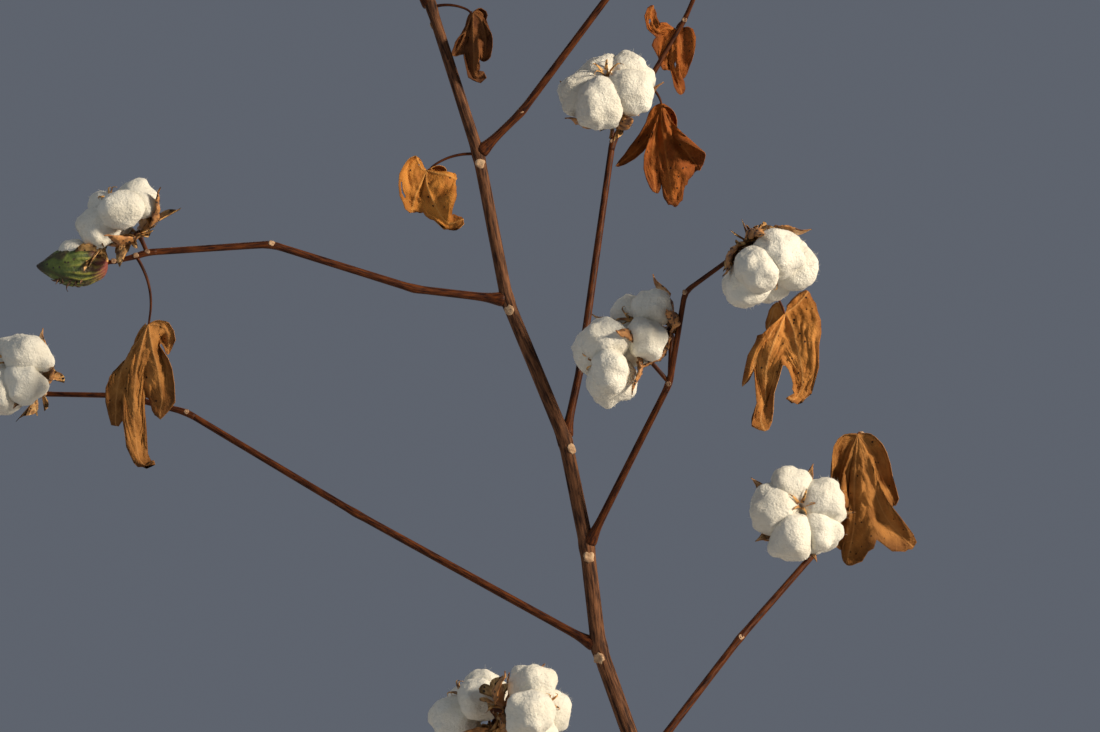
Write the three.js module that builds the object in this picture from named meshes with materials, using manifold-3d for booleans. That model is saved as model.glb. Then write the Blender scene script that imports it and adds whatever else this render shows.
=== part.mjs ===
// A cotton plant at picking time: a woody stem with fruiting branches, open bolls of white
// lint, one half-ripe green boll, and the few dried leaves that still hang on it.
// Millimetres, +Z up. The origin is the middle of the flat cut under the main stem, at ground
// level. +X is the plant's right-hand side and +Y its back.

import * as THREE from "three";
import { mergeVertices } from "three/addons/utils/BufferGeometryUtils.js";
import Module from "manifold-3d";

const wasm = await Module();
wasm.setup();

// Clearances: between a limb and what it carries, and between any other two pieces.
const seatGap = 0.3;
const keepClear = 1;

// Main stem: the length of each stretch from node to node, and its lean to the left in degrees.
const stemStretches = [
  [100, 0], [60, 1], [68, 3], [72, 4], [78, 8], [89, 19.7], [70.5, 6.5], [76.6, 11.7],
  [106, 22.5], [104, 11.1], [108, 17.8], [68, 12.8], [59.5, 16.6], [49, 10.6], [39.5, 16.1],
  [30.6, 11.3], [28, 14.5],
];
const stemSway = 3;
const stemSides = 8;
const stemTaper = [[0, 12.5], [12, 9.6], [40, 8.2], [400, 5.7], [909, 3.7], [1150, 1.7], [1175, 1.4]];

// Nodes: a limb is a little thicker where something grows from it.
const nodeSwell = 1.14;
const nodeReach = 7;

// Fruiting branches: thick at the collar on the stem, thinner towards the fruit.
const collarRadius = 4.4;
const collarStep = 2;
const collarLength = 13;
const boughRadii = [2.9, 2.3];
const boughShare = 0.8;
const boughSides = 6;
const boughStub = 4;
const twigRadius = 1.5;
const twigSides = 4;
const stalkRadius = 1.6;
const stalkSink = 0.15;
const petioleRadius = 1.1;
const petioleSides = 3;
const petioleSteps = 3;
const petioleArch = 24;
const petioleCrown = 0.55;

// An open boll, in shares of its width, from its foot to its dimpled top: the reach and height
// of the lint. Each lock of lint bulges like a ball beside its neighbours, and the pointed
// tips of the husk stand out between the locks.
const lintReach = [0, 0.42, 0.86, 1, 0.86, 0.5, 0];
const lintHeight = [0.02, 0.05, 0.17, 0.39, 0.6, 0.72, 0.5];
const lock = { spread: 0.24, thickness: 0.27, columns: 3, crease: 0.72, jitter: 0.24, droop: 0.16 };
const huskTip = { row: 2, reach: 0.56, height: 0.34 };

// A dried leaf, from stalk to tip: its width in shares of the widest place, and how far the
// side lobes hang down in shares of its length. It is folded about its midrib, in radians, and
// its tip curls and hooks.
const bladeWidths = [0.2, 0.8, 1, 0.95, 0.38, 0.06];
const lobeDrops = [0, 0.02, 0.05, 0.12, -0.08, 0];
const bladeSegments = [4, 5];
const blade = {
  thickness: 1.6, fold: 1.05, foldSpread: 0.3, lobeSpread: 0.8, curl: 0.14,
  hook: 1.1, hookFrom: 0.7, sink: 4, hang: 84,
};

// The green boll, in shares of its length: a plump egg that narrows to a beak.
const green = { plump: 0.33, half: 0.444, beak: 0.25, beakPower: 1.5, slim: 0.45, segments: [10, 8] };

// Seeds of the small differences between fruit and leaves.
const spraySeed = 100;
const tipSeed = 99;
const stemLeafSeed = 200;

// Growth of the branches that are not set out below, each from its own seed.
const growth = {
  length: 44, lengthSpread: 12, shrink: 0.86, turn: 14, turnSpread: 10, liftSpread: 16,
  stalk: 12, stalkSpread: 8, stalkTurn: 70, stalkRise: 40,
  axisTurn: 40, axisTurnSpread: 30, axisRise: 20, axisRiseSpread: 40,
  size: 52, sizeSpread: 13,
  petiole: 34, petioleSpread: 16, petioleTurn: 75, petioleRise: -25,
  leaf: 68, leafSpread: 24, leafWidth: 0.56,
};

// Branches, from the ground up. The node is counted from 0 on the stem, angles are in degrees
// from +X, and a course lists the length and rise of each stretch of the bough. A boll is given
// its locks, and their turn about its axis, where they are known.
const branches = [
  { name: "low_front", node: 0, azimuth: 232, course: [[170, 30], [60, 18]], seed: 11, fruit: 3, foliage: 1 },
  { name: "low_right", node: 1, azimuth: 8, course: [[210, 32], [90, 24]], seed: 12, fruit: 3, foliage: 2 },
  { name: "low_back", node: 2, azimuth: 150, course: [[150, 24], [80, 14]], seed: 13, fruit: 3, foliage: 1 },
  {
    name: "front", node: 3, azimuth: 238, course: [[110, 33], [60, 26]],
    twigs: [[40, 215, 40], [36, 250, 30]],
    bolls: [
      { node: 1, stalk: [10, 180, 40], axis: [190, 40], size: 60 },
      { node: 2, stalk: [10, 320, 0], axis: [330, 10], size: 62 },
    ],
    leaves: [{ node: 0, petiole: [38, 300, -25], size: [74, 44], face: 300 }],
  },
  {
    name: "right_back", node: 4, azimuth: 30, course: [[120, 47], [91, 43]],
    twigs: [[88, 20, 68]],
    bolls: [{ node: 0, stalk: [27, 183, 50], axis: [275, 18], size: 66, locks: 5, turn: 17 }],
    leaves: [{ node: 1, petiole: [8, 250, 0], size: [88, 56], face: 250, hang: [350, -78] }],
  },
  {
    name: "long_left", node: 5, azimuth: 176, course: [[195, 28.6], [139, 30.6]],
    twigs: [[47, 178, 14.6], [56, 172, 1], [46, 184, 13]],
    bolls: [
      { node: 2, stalk: [14, 240, 30], axis: [230, 30], size: 60 },
      { node: 3, stalk: [12, 150, 40], axis: [160, 40], size: 56 },
    ],
    leaves: [{ node: 3, petiole: [36, 200, -30], size: [76, 44], face: 300 }],
  },
  {
    name: "right", node: 6, azimuth: 325, course: [[134, 59]],
    twigs: [[64.5, 320, 77.7], [41.7, 335, 33.5]],
    bolls: [
      { node: 0, stalk: [35, 185, 49], axis: [195, -20], size: 58, locks: 4, turn: 30 },
      { node: 0, stalk: [38, 80, 75], axis: [200, 14], size: 60, locks: 4, turn: 15 },
      { node: 2, stalk: [17, 340, 38], axis: [315, -45], size: 62, locks: 5, turn: 4 },
    ],
    leaves: [{ node: 2, petiole: [60, 35, -39], size: [82, 50], face: 260 }],
  },
  {
    name: "back", node: 7, azimuth: 68, course: [[60, 60], [172, 69]],
    twigs: [[50, 20, 58], [55, 20, 58], [32, 345, 66]],
    bolls: [
      { node: 0, stalk: [18, 90, 84], axis: [258, 52], size: 70, locks: 5, turn: 34 },
      { node: 3, stalk: [16, 40, 70], axis: [60, 60], size: 54 },
    ],
    leaves: [
      { node: 1, petiole: [18, 20, -50], size: [73, 58], face: 270 },
      { node: 2, petiole: [9, 170, -48], size: [52, 34], face: 250 },
    ],
  },
  {
    name: "left", node: 8, azimuth: 190, course: [[66, 6.5], [105, 17], [86, -4]],
    twigs: [[8, 190, -20], [16, 190, -14]],
    bolls: [
      { node: 0, stalk: [12.5, 180, 66], axis: [200, 50], size: 60, locks: 4, turn: 45 },
      { node: 2, stalk: [4, 185, -5], axis: [185, -5], size: 46, green: true },
    ],
    leaves: [{ node: 1, petiole: [48, 0, -80], size: [101, 50], face: 270, hang: [180, -86] }],
  },
  {
    name: "upper_right", node: 9, azimuth: 355, course: [[42, 44], [140, 53]],
    twigs: [[50, 345, 40], [44, 5, 60]],
    bolls: [
      { node: 1, stalk: [14, 60, 40], axis: [40, 40], size: 58 },
      { node: 2, stalk: [12, 300, 50], axis: [290, 50], size: 54 },
    ],
    leaves: [{ node: 2, petiole: [34, 240, -20], size: [70, 40], face: 300 }],
  },
  { name: "upper_back", node: 10, azimuth: 150, course: [[54, 52], [74, 60]], seed: 21, fruit: 2, foliage: 1 },
  { name: "upper_front", node: 11, azimuth: 265, course: [[90, 45]], seed: 22, fruit: 2, foliage: 1 },
  { name: "crown_right_back", node: 12, azimuth: 45, course: [[80, 45]], seed: 23, fruit: 1, foliage: 1 },
  { name: "crown_left", node: 13, azimuth: 180, course: [[60, 50]], seed: 34, fruit: 1, foliage: 0 },
  { name: "crown_right_front", node: 14, azimuth: 315, course: [[45, 50]], seed: 25, fruit: 1, foliage: 1 },
  { name: "crown_back", node: 15, azimuth: 90, course: [[35, 55]], seed: 26, fruit: 1, foliage: 0 },
];

// Leaves that hang from the main stem itself.
const stemLeaves = [
  { name: "stem_leaf_1", node: 2, petiole: [52, 20, 10], size: [84, 46], face: 290 },
  { name: "stem_leaf_2", node: 4, petiole: [46, 140, 15], size: [78, 44], face: 120 },
  { name: "stem_leaf_3", node: 9, petiole: [38, 180, -18], size: [38, 34], face: 270 },
  { name: "stem_leaf_4", node: 10, petiole: [30, 350, -8], size: [45, 26], face: 270 },
  { name: "stem_leaf_5", node: 12, petiole: [38, 200, 5], size: [58, 34], face: 220 },
];

// The last small boll and leaf at the very tip of the stem.
const tipSpray = {
  name: "tip_spray",
  twigs: [[12, 150, 75]],
  bolls: [{ node: 1, stalk: [10, 120, 75], axis: [140, 70], size: 40 }],
  leaves: [{ node: 1, petiole: [26, 300, 0], size: [44, 26], face: 300 }],
};

// Colours as the eye sees them, dry and in plain light.
const barkFinish = { color: 0x7a4f36, roughness: 0.72, metalness: 0 };
const branchFinish = { color: 0x6b3423, roughness: 0.5, metalness: 0 };
const fruitFinish = { color: 0xe9e4d6, roughness: 0.95, metalness: 0 };
const leafFinish = { color: 0xa8642c, roughness: 0.85, metalness: 0 };

// Small tools: directions, seeded dice and the frame about a direction.
const radians = THREE.MathUtils.degToRad;

function heading(azimuth, rise) {
  const flat = Math.cos(radians(rise));
  return new THREE.Vector3(
    flat * Math.cos(radians(azimuth)),
    flat * Math.sin(radians(azimuth)),
    Math.sin(radians(rise)),
  );
}

function dice(seed) {
  const range = 2 ** 32;
  let state = (seed * 2654435761) % range;
  return () => {
    state = (state * 1664525 + 1013904223) % range;
    return state / range;
  };
}

function frameAbout(axis) {
  const level = Math.abs(axis.z) < 0.9 ? new THREE.Vector3(0, 0, 1) : new THREE.Vector3(1, 0, 0);
  const side = new THREE.Vector3().crossVectors(level, axis).normalize();
  const front = new THREE.Vector3().crossVectors(axis, side);
  return { side, front };
}

function along(from, direction, distance) {
  return from.clone().addScaledVector(direction, distance);
}

// Solids: from a closed geometry to a solid that can be joined and cut, and back.
function solidOf(geometry) {
  const bare = new THREE.BufferGeometry();
  bare.setAttribute("position", geometry.attributes.position);
  bare.setIndex(geometry.index);
  const closed = mergeVertices(bare);
  return new wasm.Manifold(new wasm.Mesh({
    numProp: 3,
    vertProperties: new Float32Array(closed.attributes.position.array),
    triVerts: new Uint32Array(closed.index.array),
  }));
}

function geometryOf(solid) {
  const { vertProperties, triVerts, numProp } = solid.getMesh();
  const geometry = new THREE.BufferGeometry();
  geometry.setAttribute("position", new THREE.BufferAttribute(vertProperties, numProp));
  geometry.setIndex(new THREE.BufferAttribute(triVerts, 1));
  geometry.computeVertexNormals();
  return geometry;
}

function joined(solids) {
  return solids.reduce((whole, solid) => whole.add(solid));
}

function isClear(piece, neighbours) {
  return neighbours.every((other) => piece.minGap(other, keepClear) >= keepClear);
}

// The one whole body of a joined solid, without loose scraps and without sealed hollows.
function wholeBody(solid) {
  return solid.decompose().reduce((best, body) => (body.volume() > best.volume() ? body : best));
}

// A limb is a closed cylinder whose rings are laid along a course of points and radii.
function limb(course, sides) {
  const last = course.length - 1;
  const steps = course.slice(1).map((ring, i) => ring.at.clone().sub(course[i].at).normalize());
  const ahead = course.map((_, i) => {
    const [before, after] = [steps[Math.max(i - 1, 0)], steps[Math.min(i, last - 1)]];
    return before.clone().add(after).normalize();
  });
  const frames = [];
  let { side } = frameAbout(ahead[0]);
  ahead.forEach((direction, i) => {
    if (i > 0) {
      const bend = new THREE.Quaternion().setFromUnitVectors(ahead[i - 1], direction);
      side = side.clone().applyQuaternion(bend);
    }
    frames.push({ side, front: new THREE.Vector3().crossVectors(side, direction) });
  });
  const shape = new THREE.CylinderGeometry(1, 1, 1, sides, last);
  const place = shape.attributes.position;
  const point = new THREE.Vector3();
  for (let i = 0; i < place.count; i += 1) {
    const ring = Math.round((place.getY(i) + 0.5) * last);
    const { at, radius } = course[ring];
    point.copy(at)
      .addScaledVector(frames[ring].side, place.getX(i) * radius)
      .addScaledVector(frames[ring].front, place.getZ(i) * radius);
    place.setXYZ(i, point.x, point.y, point.z);
  }
  return solidOf(shape);
}

// A value read off a list of [place, value] steps, straight between them.
function taper(steps, place) {
  const next = steps.findIndex(([reach]) => reach >= place);
  if (next <= 0) {
    return steps[next < 0 ? steps.length - 1 : 0][1];
  }
  const [[from, low], [to, high]] = [steps[next - 1], steps[next]];
  return THREE.MathUtils.mapLinear(place, from, to, low, high);
}

// Rings along a chain of points: one before, one on and one after each inner point, and the
// one on it is swollen as a node is.
function chain(points, radiusAt, extra = 0) {
  const lengths = points.slice(1).map((point, i) => point.distanceTo(points[i]));
  const total = lengths.reduce((sum, length) => sum + length, 0);
  const rings = [];
  let run = 0;
  points.forEach((point, i) => {
    const before = i > 0 ? points[i - 1].clone().sub(point).normalize() : null;
    const after = i < points.length - 1 ? points[i + 1].clone().sub(point).normalize() : null;
    const radius = radiusAt(run / total, point) + extra;
    if (before && after) {
      const back = Math.min(nodeReach, lengths[i - 1] / 3);
      const on = Math.min(nodeReach, lengths[i] / 3);
      rings.push({ at: along(point, before, back), radius });
      rings.push({ at: point, radius: radius * nodeSwell });
      rings.push({ at: along(point, after, on), radius });
    } else {
      rings.push({ at: point, radius });
    }
    run += lengths[i] ?? 0;
  });
  return rings;
}

// Main stem
function stemNodes() {
  const nodes = [new THREE.Vector3()];
  stemStretches.forEach(([length, lean], i) => {
    const carried = branches.find((branch) => branch.node === i - 1);
    const sway = carried ? -stemSway * Math.sin(radians(carried.azimuth)) : 0;
    const step = new THREE.Vector3(
      -Math.sin(radians(lean)),
      Math.sin(radians(sway)),
      Math.cos(radians(lean)),
    );
    nodes.push(along(nodes[i], step, length));
  });
  return nodes;
}

const stemPoints = stemNodes();
const nodeAt = (node) => stemPoints[node + 1];

function stemSolid(extra) {
  const [foot, ...upper] = stemPoints;
  const flare = stemTaper.slice(1, 3).map(([height]) => new THREE.Vector3(0, 0, height));
  const rings = [
    { at: foot, radius: taper(stemTaper, 0) + extra },
    ...flare.map((at) => ({ at, radius: taper(stemTaper, at.z) + extra })),
    ...chain([flare[1], ...upper], (_, point) => taper(stemTaper, point.z), extra).slice(1),
  ];
  return limb(rings, stemSides);
}

const stem = stemSolid(0);
const stemRoom = stemSolid(seatGap);

// Boughs: one tapering limb each, from a collar on the stem to a stub before its first fruit.
function boughPoints({ node, azimuth, course }) {
  const points = [nodeAt(node).clone()];
  course.forEach(([length, rise]) => {
    points.push(along(points[points.length - 1], heading(azimuth, rise), length));
  });
  return points;
}

function girthOf({ node }) {
  return Math.min(1, (boughShare * taper(stemTaper, nodeAt(node).z)) / boughRadii[0]);
}

function boughSolid(branch) {
  const points = boughPoints(branch);
  const girth = girthOf(branch);
  const [, lastRise] = branch.course[branch.course.length - 1];
  const end = points.pop();
  points.push(along(end, heading(branch.azimuth, lastRise), -boughStub));
  const [thick, thin] = boughRadii.map((radius) => radius * girth);
  const rings = chain(points, (share) => thick + (thin - thick) * share);
  const outward = heading(branch.azimuth, branch.course[0][1]);
  const stemRadius = taper(stemTaper, points[0].z);
  const collar = girth * collarRadius;
  rings[0].radius = thick;
  rings.splice(1, 0,
    { at: along(points[0], outward, stemRadius + collarStep), radius: collar },
    { at: along(points[0], outward, stemRadius + collarLength * girth), radius: thick },
  );
  return wholeBody(limb(rings, boughSides).subtract(stemRoom));
}

// Fruit
function openBoll(base, axis, size, locks, turnTo, draw) {
  const { side, front } = frameAbout(axis);
  const anyTurn = 360 * draw();
  const spin = radians(turnTo ?? anyTurn);
  const bulges = Array.from({ length: locks }, () => 1 + lock.jitter * (draw() - 0.5));
  const columns = lock.columns * locks;
  const rows = lintReach.length - 1;
  const shape = new THREE.SphereGeometry(1, columns, rows);
  const { position: place, uv } = shape.attributes;
  for (let i = 0; i < place.count; i += 1) {
    const column = Math.round(uv.getX(i) * columns) % columns;
    const row = Math.round(uv.getY(i) * rows);
    const turn = (2 * Math.PI * column) / columns;
    const seam = column % lock.columns === 0;
    const off = ((column % lock.columns) / lock.columns - 0.5) * ((2 * Math.PI) / locks);
    const bulge = lock.spread * Math.cos(off)
      + Math.sqrt(lock.thickness ** 2 - (lock.spread * Math.sin(off)) ** 2);
    const tip = seam && row === huskTip.row;
    const swell = seam ? lock.crease : bulges[Math.floor(column / lock.columns)];
    const reach = tip ? huskTip.reach : bulge * swell * lintReach[row];
    const height = tip ? huskTip.height : lintHeight[row];
    const point = along(base, axis, height * size)
      .addScaledVector(front, -Math.cos(turn + spin) * reach * size)
      .addScaledVector(side, Math.sin(turn + spin) * reach * size);
    point.z -= tip ? 0 : lock.droop * size * reach * lintReach[row];
    place.setXYZ(i, point.x, point.y, point.z);
  }
  return solidOf(shape);
}

function greenBoll(base, axis, size) {
  const { side, front } = frameAbout(axis);
  const shape = new THREE.SphereGeometry(1, ...green.segments);
  const place = shape.attributes.position;
  for (let i = 0; i < place.count; i += 1) {
    const y = place.getY(i);
    const beak = Math.max(y, 0) ** green.beakPower;
    const slim = 1 - green.slim * beak;
    place.setXYZ(i, place.getX(i) * slim, y + green.beak * beak, place.getZ(i) * slim);
  }
  const half = size * green.half;
  const plump = size * green.plump;
  shape.applyMatrix4(new THREE.Matrix4().makeBasis(
    front.multiplyScalar(plump),
    axis.clone().multiplyScalar(half),
    side.multiplyScalar(plump),
  ).setPosition(along(base, axis, half)));
  return solidOf(shape);
}

// Leaves: a slab laid along a bent surface, from the stalk's end down to the hooked tip.
function slab(surface, thickness, [columns, rows]) {
  const shape = new THREE.BoxGeometry(1, 1, 1, columns, rows, 1);
  const place = shape.attributes.position;
  const small = 0.01;
  for (let i = 0; i < place.count; i += 1) {
    const [x, y, z] = [place.getX(i), place.getY(i), place.getZ(i)];
    const across = surface(x + small, y).sub(surface(x - small, y));
    const upward = surface(x, y + small).sub(surface(x, y - small));
    const normal = across.cross(upward).normalize();
    const point = along(surface(x, y), normal, z * thickness);
    place.setXYZ(i, point.x, point.y, point.z);
  }
  return solidOf(shape);
}

function bladeSolid(root, down, face, [length, width], draw) {
  const forward = heading(face, 0);
  const side = new THREE.Vector3().crossVectors(forward, down).normalize().negate();
  const out = new THREE.Vector3().crossVectors(side, down).normalize().negate();
  const widths = bladeWidths.map((share, i) => [i / (bladeWidths.length - 1), share]);
  const drops = lobeDrops.map((share, i) => [i / (lobeDrops.length - 1), share]);
  const hook = blade.hook * (draw() < 0.5 ? -1 : 1);
  const lobes = [0, 1].map(() => 1 + blade.lobeSpread * (draw() - 0.5));
  const fold = blade.fold * (1 + blade.foldSpread * (draw() - 0.5));
  const surface = (x, y) => {
    const u = 2 * x;
    const v = THREE.MathUtils.clamp(0.5 - y, 0, 1);
    const half = (width / 2) * taper(widths, v);
    const hooked = hook * length * Math.max(0, v - blade.hookFrom) ** 2;
    const sideways = (half * Math.sin(fold * u)) / Math.sin(fold) + hooked;
    const forwards = (half * (1 - Math.cos(fold * u))) / Math.sin(fold) + blade.curl * length * v * v;
    const drop = length * (0.5 - y + lobes[x < 0 ? 0 : 1] * u * u * taper(drops, v));
    return root.clone()
      .addScaledVector(side, sideways)
      .addScaledVector(out, forwards)
      .addScaledVector(down, drop);
  };
  return slab(surface, blade.thickness, bladeSegments);
}

function leafSolid(start, { petiole: [reach, azimuth, rise], size, face, hang }, draw) {
  const end = along(start, heading(azimuth, rise), reach);
  const middle = along(start, heading(azimuth, rise + petioleArch), reach * petioleCrown);
  const path = new THREE.QuadraticBezierCurve3(start, middle, end);
  const down = heading(...(hang ?? [azimuth, -blade.hang]));
  const points = [...path.getPoints(petioleSteps), along(end, down, blade.sink)];
  const stalk = limb(points.map((at) => ({ at, radius: petioleRadius })), petioleSides);
  return joined([stalk, bladeSolid(end, down, face, size, draw)]);
}

// The growing rule: twigs turn left and right in turn, each node bears a boll on its outer
// side, and leaves hang from the nodes nearest the bough.
function growSpray({ azimuth, course, seed, fruit, foliage }) {
  const draw = dice(seed);
  const [, rise] = course[course.length - 1];
  const grown = { twigs: [], bolls: [], leaves: [] };
  let side = draw() < 0.5 ? -1 : 1;
  for (let node = 0; node < fruit; node += 1) {
    const length = (growth.length + growth.lengthSpread * draw()) * growth.shrink ** node;
    const turn = side * (growth.turn + growth.turnSpread * draw());
    const lift = growth.liftSpread * (draw() - 0.5);
    grown.twigs.push([length, azimuth + turn, rise + lift]);
    grown.bolls.push({
      node: node + 1,
      stalk: [growth.stalk + growth.stalkSpread * draw(), azimuth + side * growth.stalkTurn, growth.stalkRise],
      axis: [
        azimuth + side * (growth.axisTurn + growth.axisTurnSpread * draw()),
        growth.axisRise + growth.axisRiseSpread * draw(),
      ],
      size: growth.size + growth.sizeSpread * draw(),
    });
    side = -side;
  }
  for (let leaf = 0; leaf < foliage; leaf += 1) {
    const length = growth.leaf + growth.leafSpread * draw();
    grown.leaves.push({
      node: leaf,
      petiole: [
        growth.petiole + growth.petioleSpread * draw(),
        azimuth + side * growth.petioleTurn,
        growth.petioleRise,
      ],
      size: [length, length * growth.leafWidth],
      face: 360 * draw(),
    });
    side = -side;
  }
  return grown;
}

// A spray: its twigs, then each boll and leaf that keeps clear of every limb and other spray.
function spraySolid(start, outward, { twigs, bolls, leaves }, radius, seed, neighbours) {
  const draw = dice(seed);
  const points = [start, along(start, outward, boughStub - seatGap)];
  twigs.forEach(([length, azimuth, rise]) => {
    points.push(along(points[points.length - 1], heading(azimuth, rise), length));
  });
  const thin = Math.min(radius, twigRadius);
  const nodes = points.slice(1);
  let spray = limb(chain(points, (share) => radius + (thin - radius) * share), twigSides);
  const fuse = (piece) => {
    if (isClear(piece, neighbours)) {
      spray = spray.add(piece);
    }
  };
  bolls.forEach(({ node, stalk: [reach, azimuth, rise], axis, size, green, locks, turn }) => {
    const base = along(nodes[node], heading(azimuth, rise), reach);
    const direction = heading(...axis);
    const course = [nodes[node], base, along(base, direction, stalkSink * size)];
    const anyLocks = draw() < 0.5 ? 4 : 5;
    const fruit = green
      ? greenBoll(base, direction, size)
      : openBoll(base, direction, size, locks ?? anyLocks, turn, draw);
    fuse(joined([limb(course.map((at) => ({ at, radius: stalkRadius })), twigSides), fruit]));
  });
  leaves.forEach((leaf) => {
    fuse(leafSolid(nodes[leaf.node], leaf, draw));
  });
  return wholeBody(spray);
}

// The whole plant
const plant = new THREE.Group();

function put(name, solid, finish) {
  const mesh = new THREE.Mesh(geometryOf(solid), new THREE.MeshStandardMaterial(finish));
  mesh.name = name;
  plant.add(mesh);
}

put("main_stem", stem, barkFinish);
const limbs = [stem];
branches.forEach((branch) => {
  const bough = boughSolid(branch);
  put(`${branch.name}_bough`, bough, branchFinish);
  limbs.push(bough);
});

const grownSolids = [...limbs];
branches.forEach((branch, i) => {
  const end = boughPoints(branch).pop();
  const outward = heading(branch.azimuth, branch.course[branch.course.length - 1][1]);
  const start = along(end, outward, seatGap - boughStub);
  const growing = branch.twigs ? branch : growSpray(branch);
  const radius = boughRadii[1] * girthOf(branch);
  const spray = spraySolid(start, outward, growing, radius, spraySeed + i, grownSolids);
  put(`${branch.name}_spray`, spray, fruitFinish);
  grownSolids.push(spray);
});

const tip = stemPoints[stemPoints.length - 1];
const tipward = tip.clone().sub(stemPoints[stemPoints.length - 2]).normalize();
const tipStart = along(tip, tipward, seatGap);
const tipRadius = taper(stemTaper, tip.z);
const tipSolid = spraySolid(tipStart, tipward, tipSpray, tipRadius, tipSeed, grownSolids);
put(tipSpray.name, tipSolid, fruitFinish);
grownSolids.push(tipSolid);

stemLeaves.forEach((leaf, i) => {
  const solid = wholeBody(leafSolid(nodeAt(leaf.node), leaf, dice(stemLeafSeed + i)).subtract(stemRoom));
  if (isClear(solid, grownSolids.slice(1))) {
    put(leaf.name, solid, leafFinish);
    grownSolids.push(solid);
  }
});

export default plant;
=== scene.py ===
import math

import bmesh
import bpy
from mathutils import Euler, Matrix, Vector, noise


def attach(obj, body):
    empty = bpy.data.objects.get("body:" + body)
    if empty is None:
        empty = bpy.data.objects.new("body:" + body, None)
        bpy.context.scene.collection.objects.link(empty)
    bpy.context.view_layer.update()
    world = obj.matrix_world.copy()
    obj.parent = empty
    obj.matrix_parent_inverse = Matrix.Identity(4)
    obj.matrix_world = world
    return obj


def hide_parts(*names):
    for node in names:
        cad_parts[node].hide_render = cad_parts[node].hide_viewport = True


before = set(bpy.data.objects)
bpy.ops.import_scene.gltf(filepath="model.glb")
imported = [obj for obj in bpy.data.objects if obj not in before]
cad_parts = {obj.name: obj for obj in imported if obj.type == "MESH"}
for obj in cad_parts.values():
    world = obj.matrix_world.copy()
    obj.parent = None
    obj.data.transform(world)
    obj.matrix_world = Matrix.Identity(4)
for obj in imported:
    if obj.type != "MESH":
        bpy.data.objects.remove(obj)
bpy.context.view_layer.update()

scene = bpy.context.scene

# Studio: a pale round floor under the plant, a plain cool backdrop colour, a warm light from the
# right as low sun gives, a cool one that fills the left side and a faint warm one from behind.
# The long lens looks level at the upper half of the plant, from where it was photographed.
camera_data = bpy.data.cameras.new("camera")
camera_data.lens = 150
camera_data.sensor_width = 36
camera_data.clip_end = 60
camera = bpy.data.objects.new("camera", camera_data)
camera.location = (-0.0845, -3.208, 0.6575)
camera.rotation_euler = (math.radians(90), 0, 0)
scene.collection.objects.link(camera)
scene.camera = camera
scene.view_settings.view_transform = "Standard"

backdrop_colour = (0.112, 0.126, 0.155, 1)
scene.world = bpy.data.worlds.new("backdrop")
scene.world.use_nodes = True
scene.world.node_tree.nodes["Background"].inputs["Color"].default_value = backdrop_colour
light_aim = Vector((-0.08, 0, 0.65))


def soft_light(name, place, size, power, colour, spread=180):
    """A round lamp that looks at the plant: its size is in metres, its power in watts."""
    data = bpy.data.lights.new(name, "AREA")
    data.shape = "DISK"
    data.size = size
    data.energy = power
    data.color = colour
    data.spread = math.radians(spread)
    light = bpy.data.objects.new(name, data)
    light.location = place
    light.rotation_euler = (light_aim - light.location).to_track_quat("-Z", "Y").to_euler()
    scene.collection.objects.link(light)


soft_light("sun_side", (3.3, -1.6, 2.05), 0.85, 38, (1.0, 0.88, 0.72), spread=70)
soft_light("sky_side", (-2.6, -2.4, 2.2), 2.4, 20, (0.84, 0.91, 1.0))
soft_light("back_glow", (-0.9, 3.0, 2.6), 2.0, 14, (1.0, 0.9, 0.84))

floor_radius = 3.0
floor_drop = 0.001
floor_colour = (0.62, 0.61, 0.6, 1)


def new_finish(name, roughness):
    """A plain material, with its node tree and its shader."""
    finish = bpy.data.materials.new(name)
    finish.use_nodes = True
    shader = finish.node_tree.nodes["Principled BSDF"]
    shader.inputs["Roughness"].default_value = roughness
    return finish, finish.node_tree, shader


floor_mesh = bmesh.new()
bmesh.ops.create_circle(floor_mesh, cap_ends=True, segments=96, radius=floor_radius)
floor_data = bpy.data.meshes.new("floor")
floor_mesh.to_mesh(floor_data)
floor_mesh.free()
floor = bpy.data.objects.new("floor", floor_data)
floor.location.z = -floor_drop
scene.collection.objects.link(floor)
floor_finish, _, floor_shader = new_finish("pale_floor", 0.9)
floor_shader.inputs["Base Color"].default_value = floor_colour
floor_data.materials.append(floor_finish)

# Main stem: one woody stem that leans to the left and bends a little away from each branch, with
# swollen nodes, a ribbed flare at the ground and fine lengthwise wrinkles in its bark. It is a
# flat sheet rolled round the course of the stem and closed along its seam and at both ends.
MM = 0.001
# The way that each node's branch grows: its turn about the upright in degrees, from the foot up.
node_azimuths = [232, 8, 150, 238, 30, 176, 325, 68, 190, 355, 150, 265, 45, 180, 315, 90]
# The stretches of the stem from node to node: length in millimetres, lean to the left in degrees.
stem_stretches = [
    (100, 0), (60, 1), (68, 3), (72, 4), (78, 8), (89, 19.7), (70.5, 6.5), (76.6, 11.7),
    (106, 22.5), (104, 11.1), (108, 17.8), (68, 12.8), (59.5, 16.6), (49, 10.6), (39.5, 16.1),
    (30.6, 11.3), (28, 14.5),
]
stem_sway = 3
# Heights above the ground and the radius there, in millimetres.
stem_taper = [(0, 12.5), (12, 9.6), (40, 8.2), (400, 5.7), (909, 3.7), (1150, 1.7), (1175, 1.4)]
stem_sides = 40
stem_spacing = 2 * MM
foot_ribs = 5
foot_rib_depth = 0.09
foot_rib_height = 16 * MM
# Waves of uneven bark: pitch round the stem, pitch along it, shift and depth.
stem_creases = [(3.4, 11, 0, 0.035), (8, 26, 40, 0.022)]
wart_pitch = (6, 300)
wart_level = 0.42
wart_depth = 0.12
node_swell = 0.14
node_reach = 5 * MM
bend_reach = 5 * MM
bend_share = 1 / 8
grain_stretch = 0.12
merge_distance = 0.004 * MM


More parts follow.
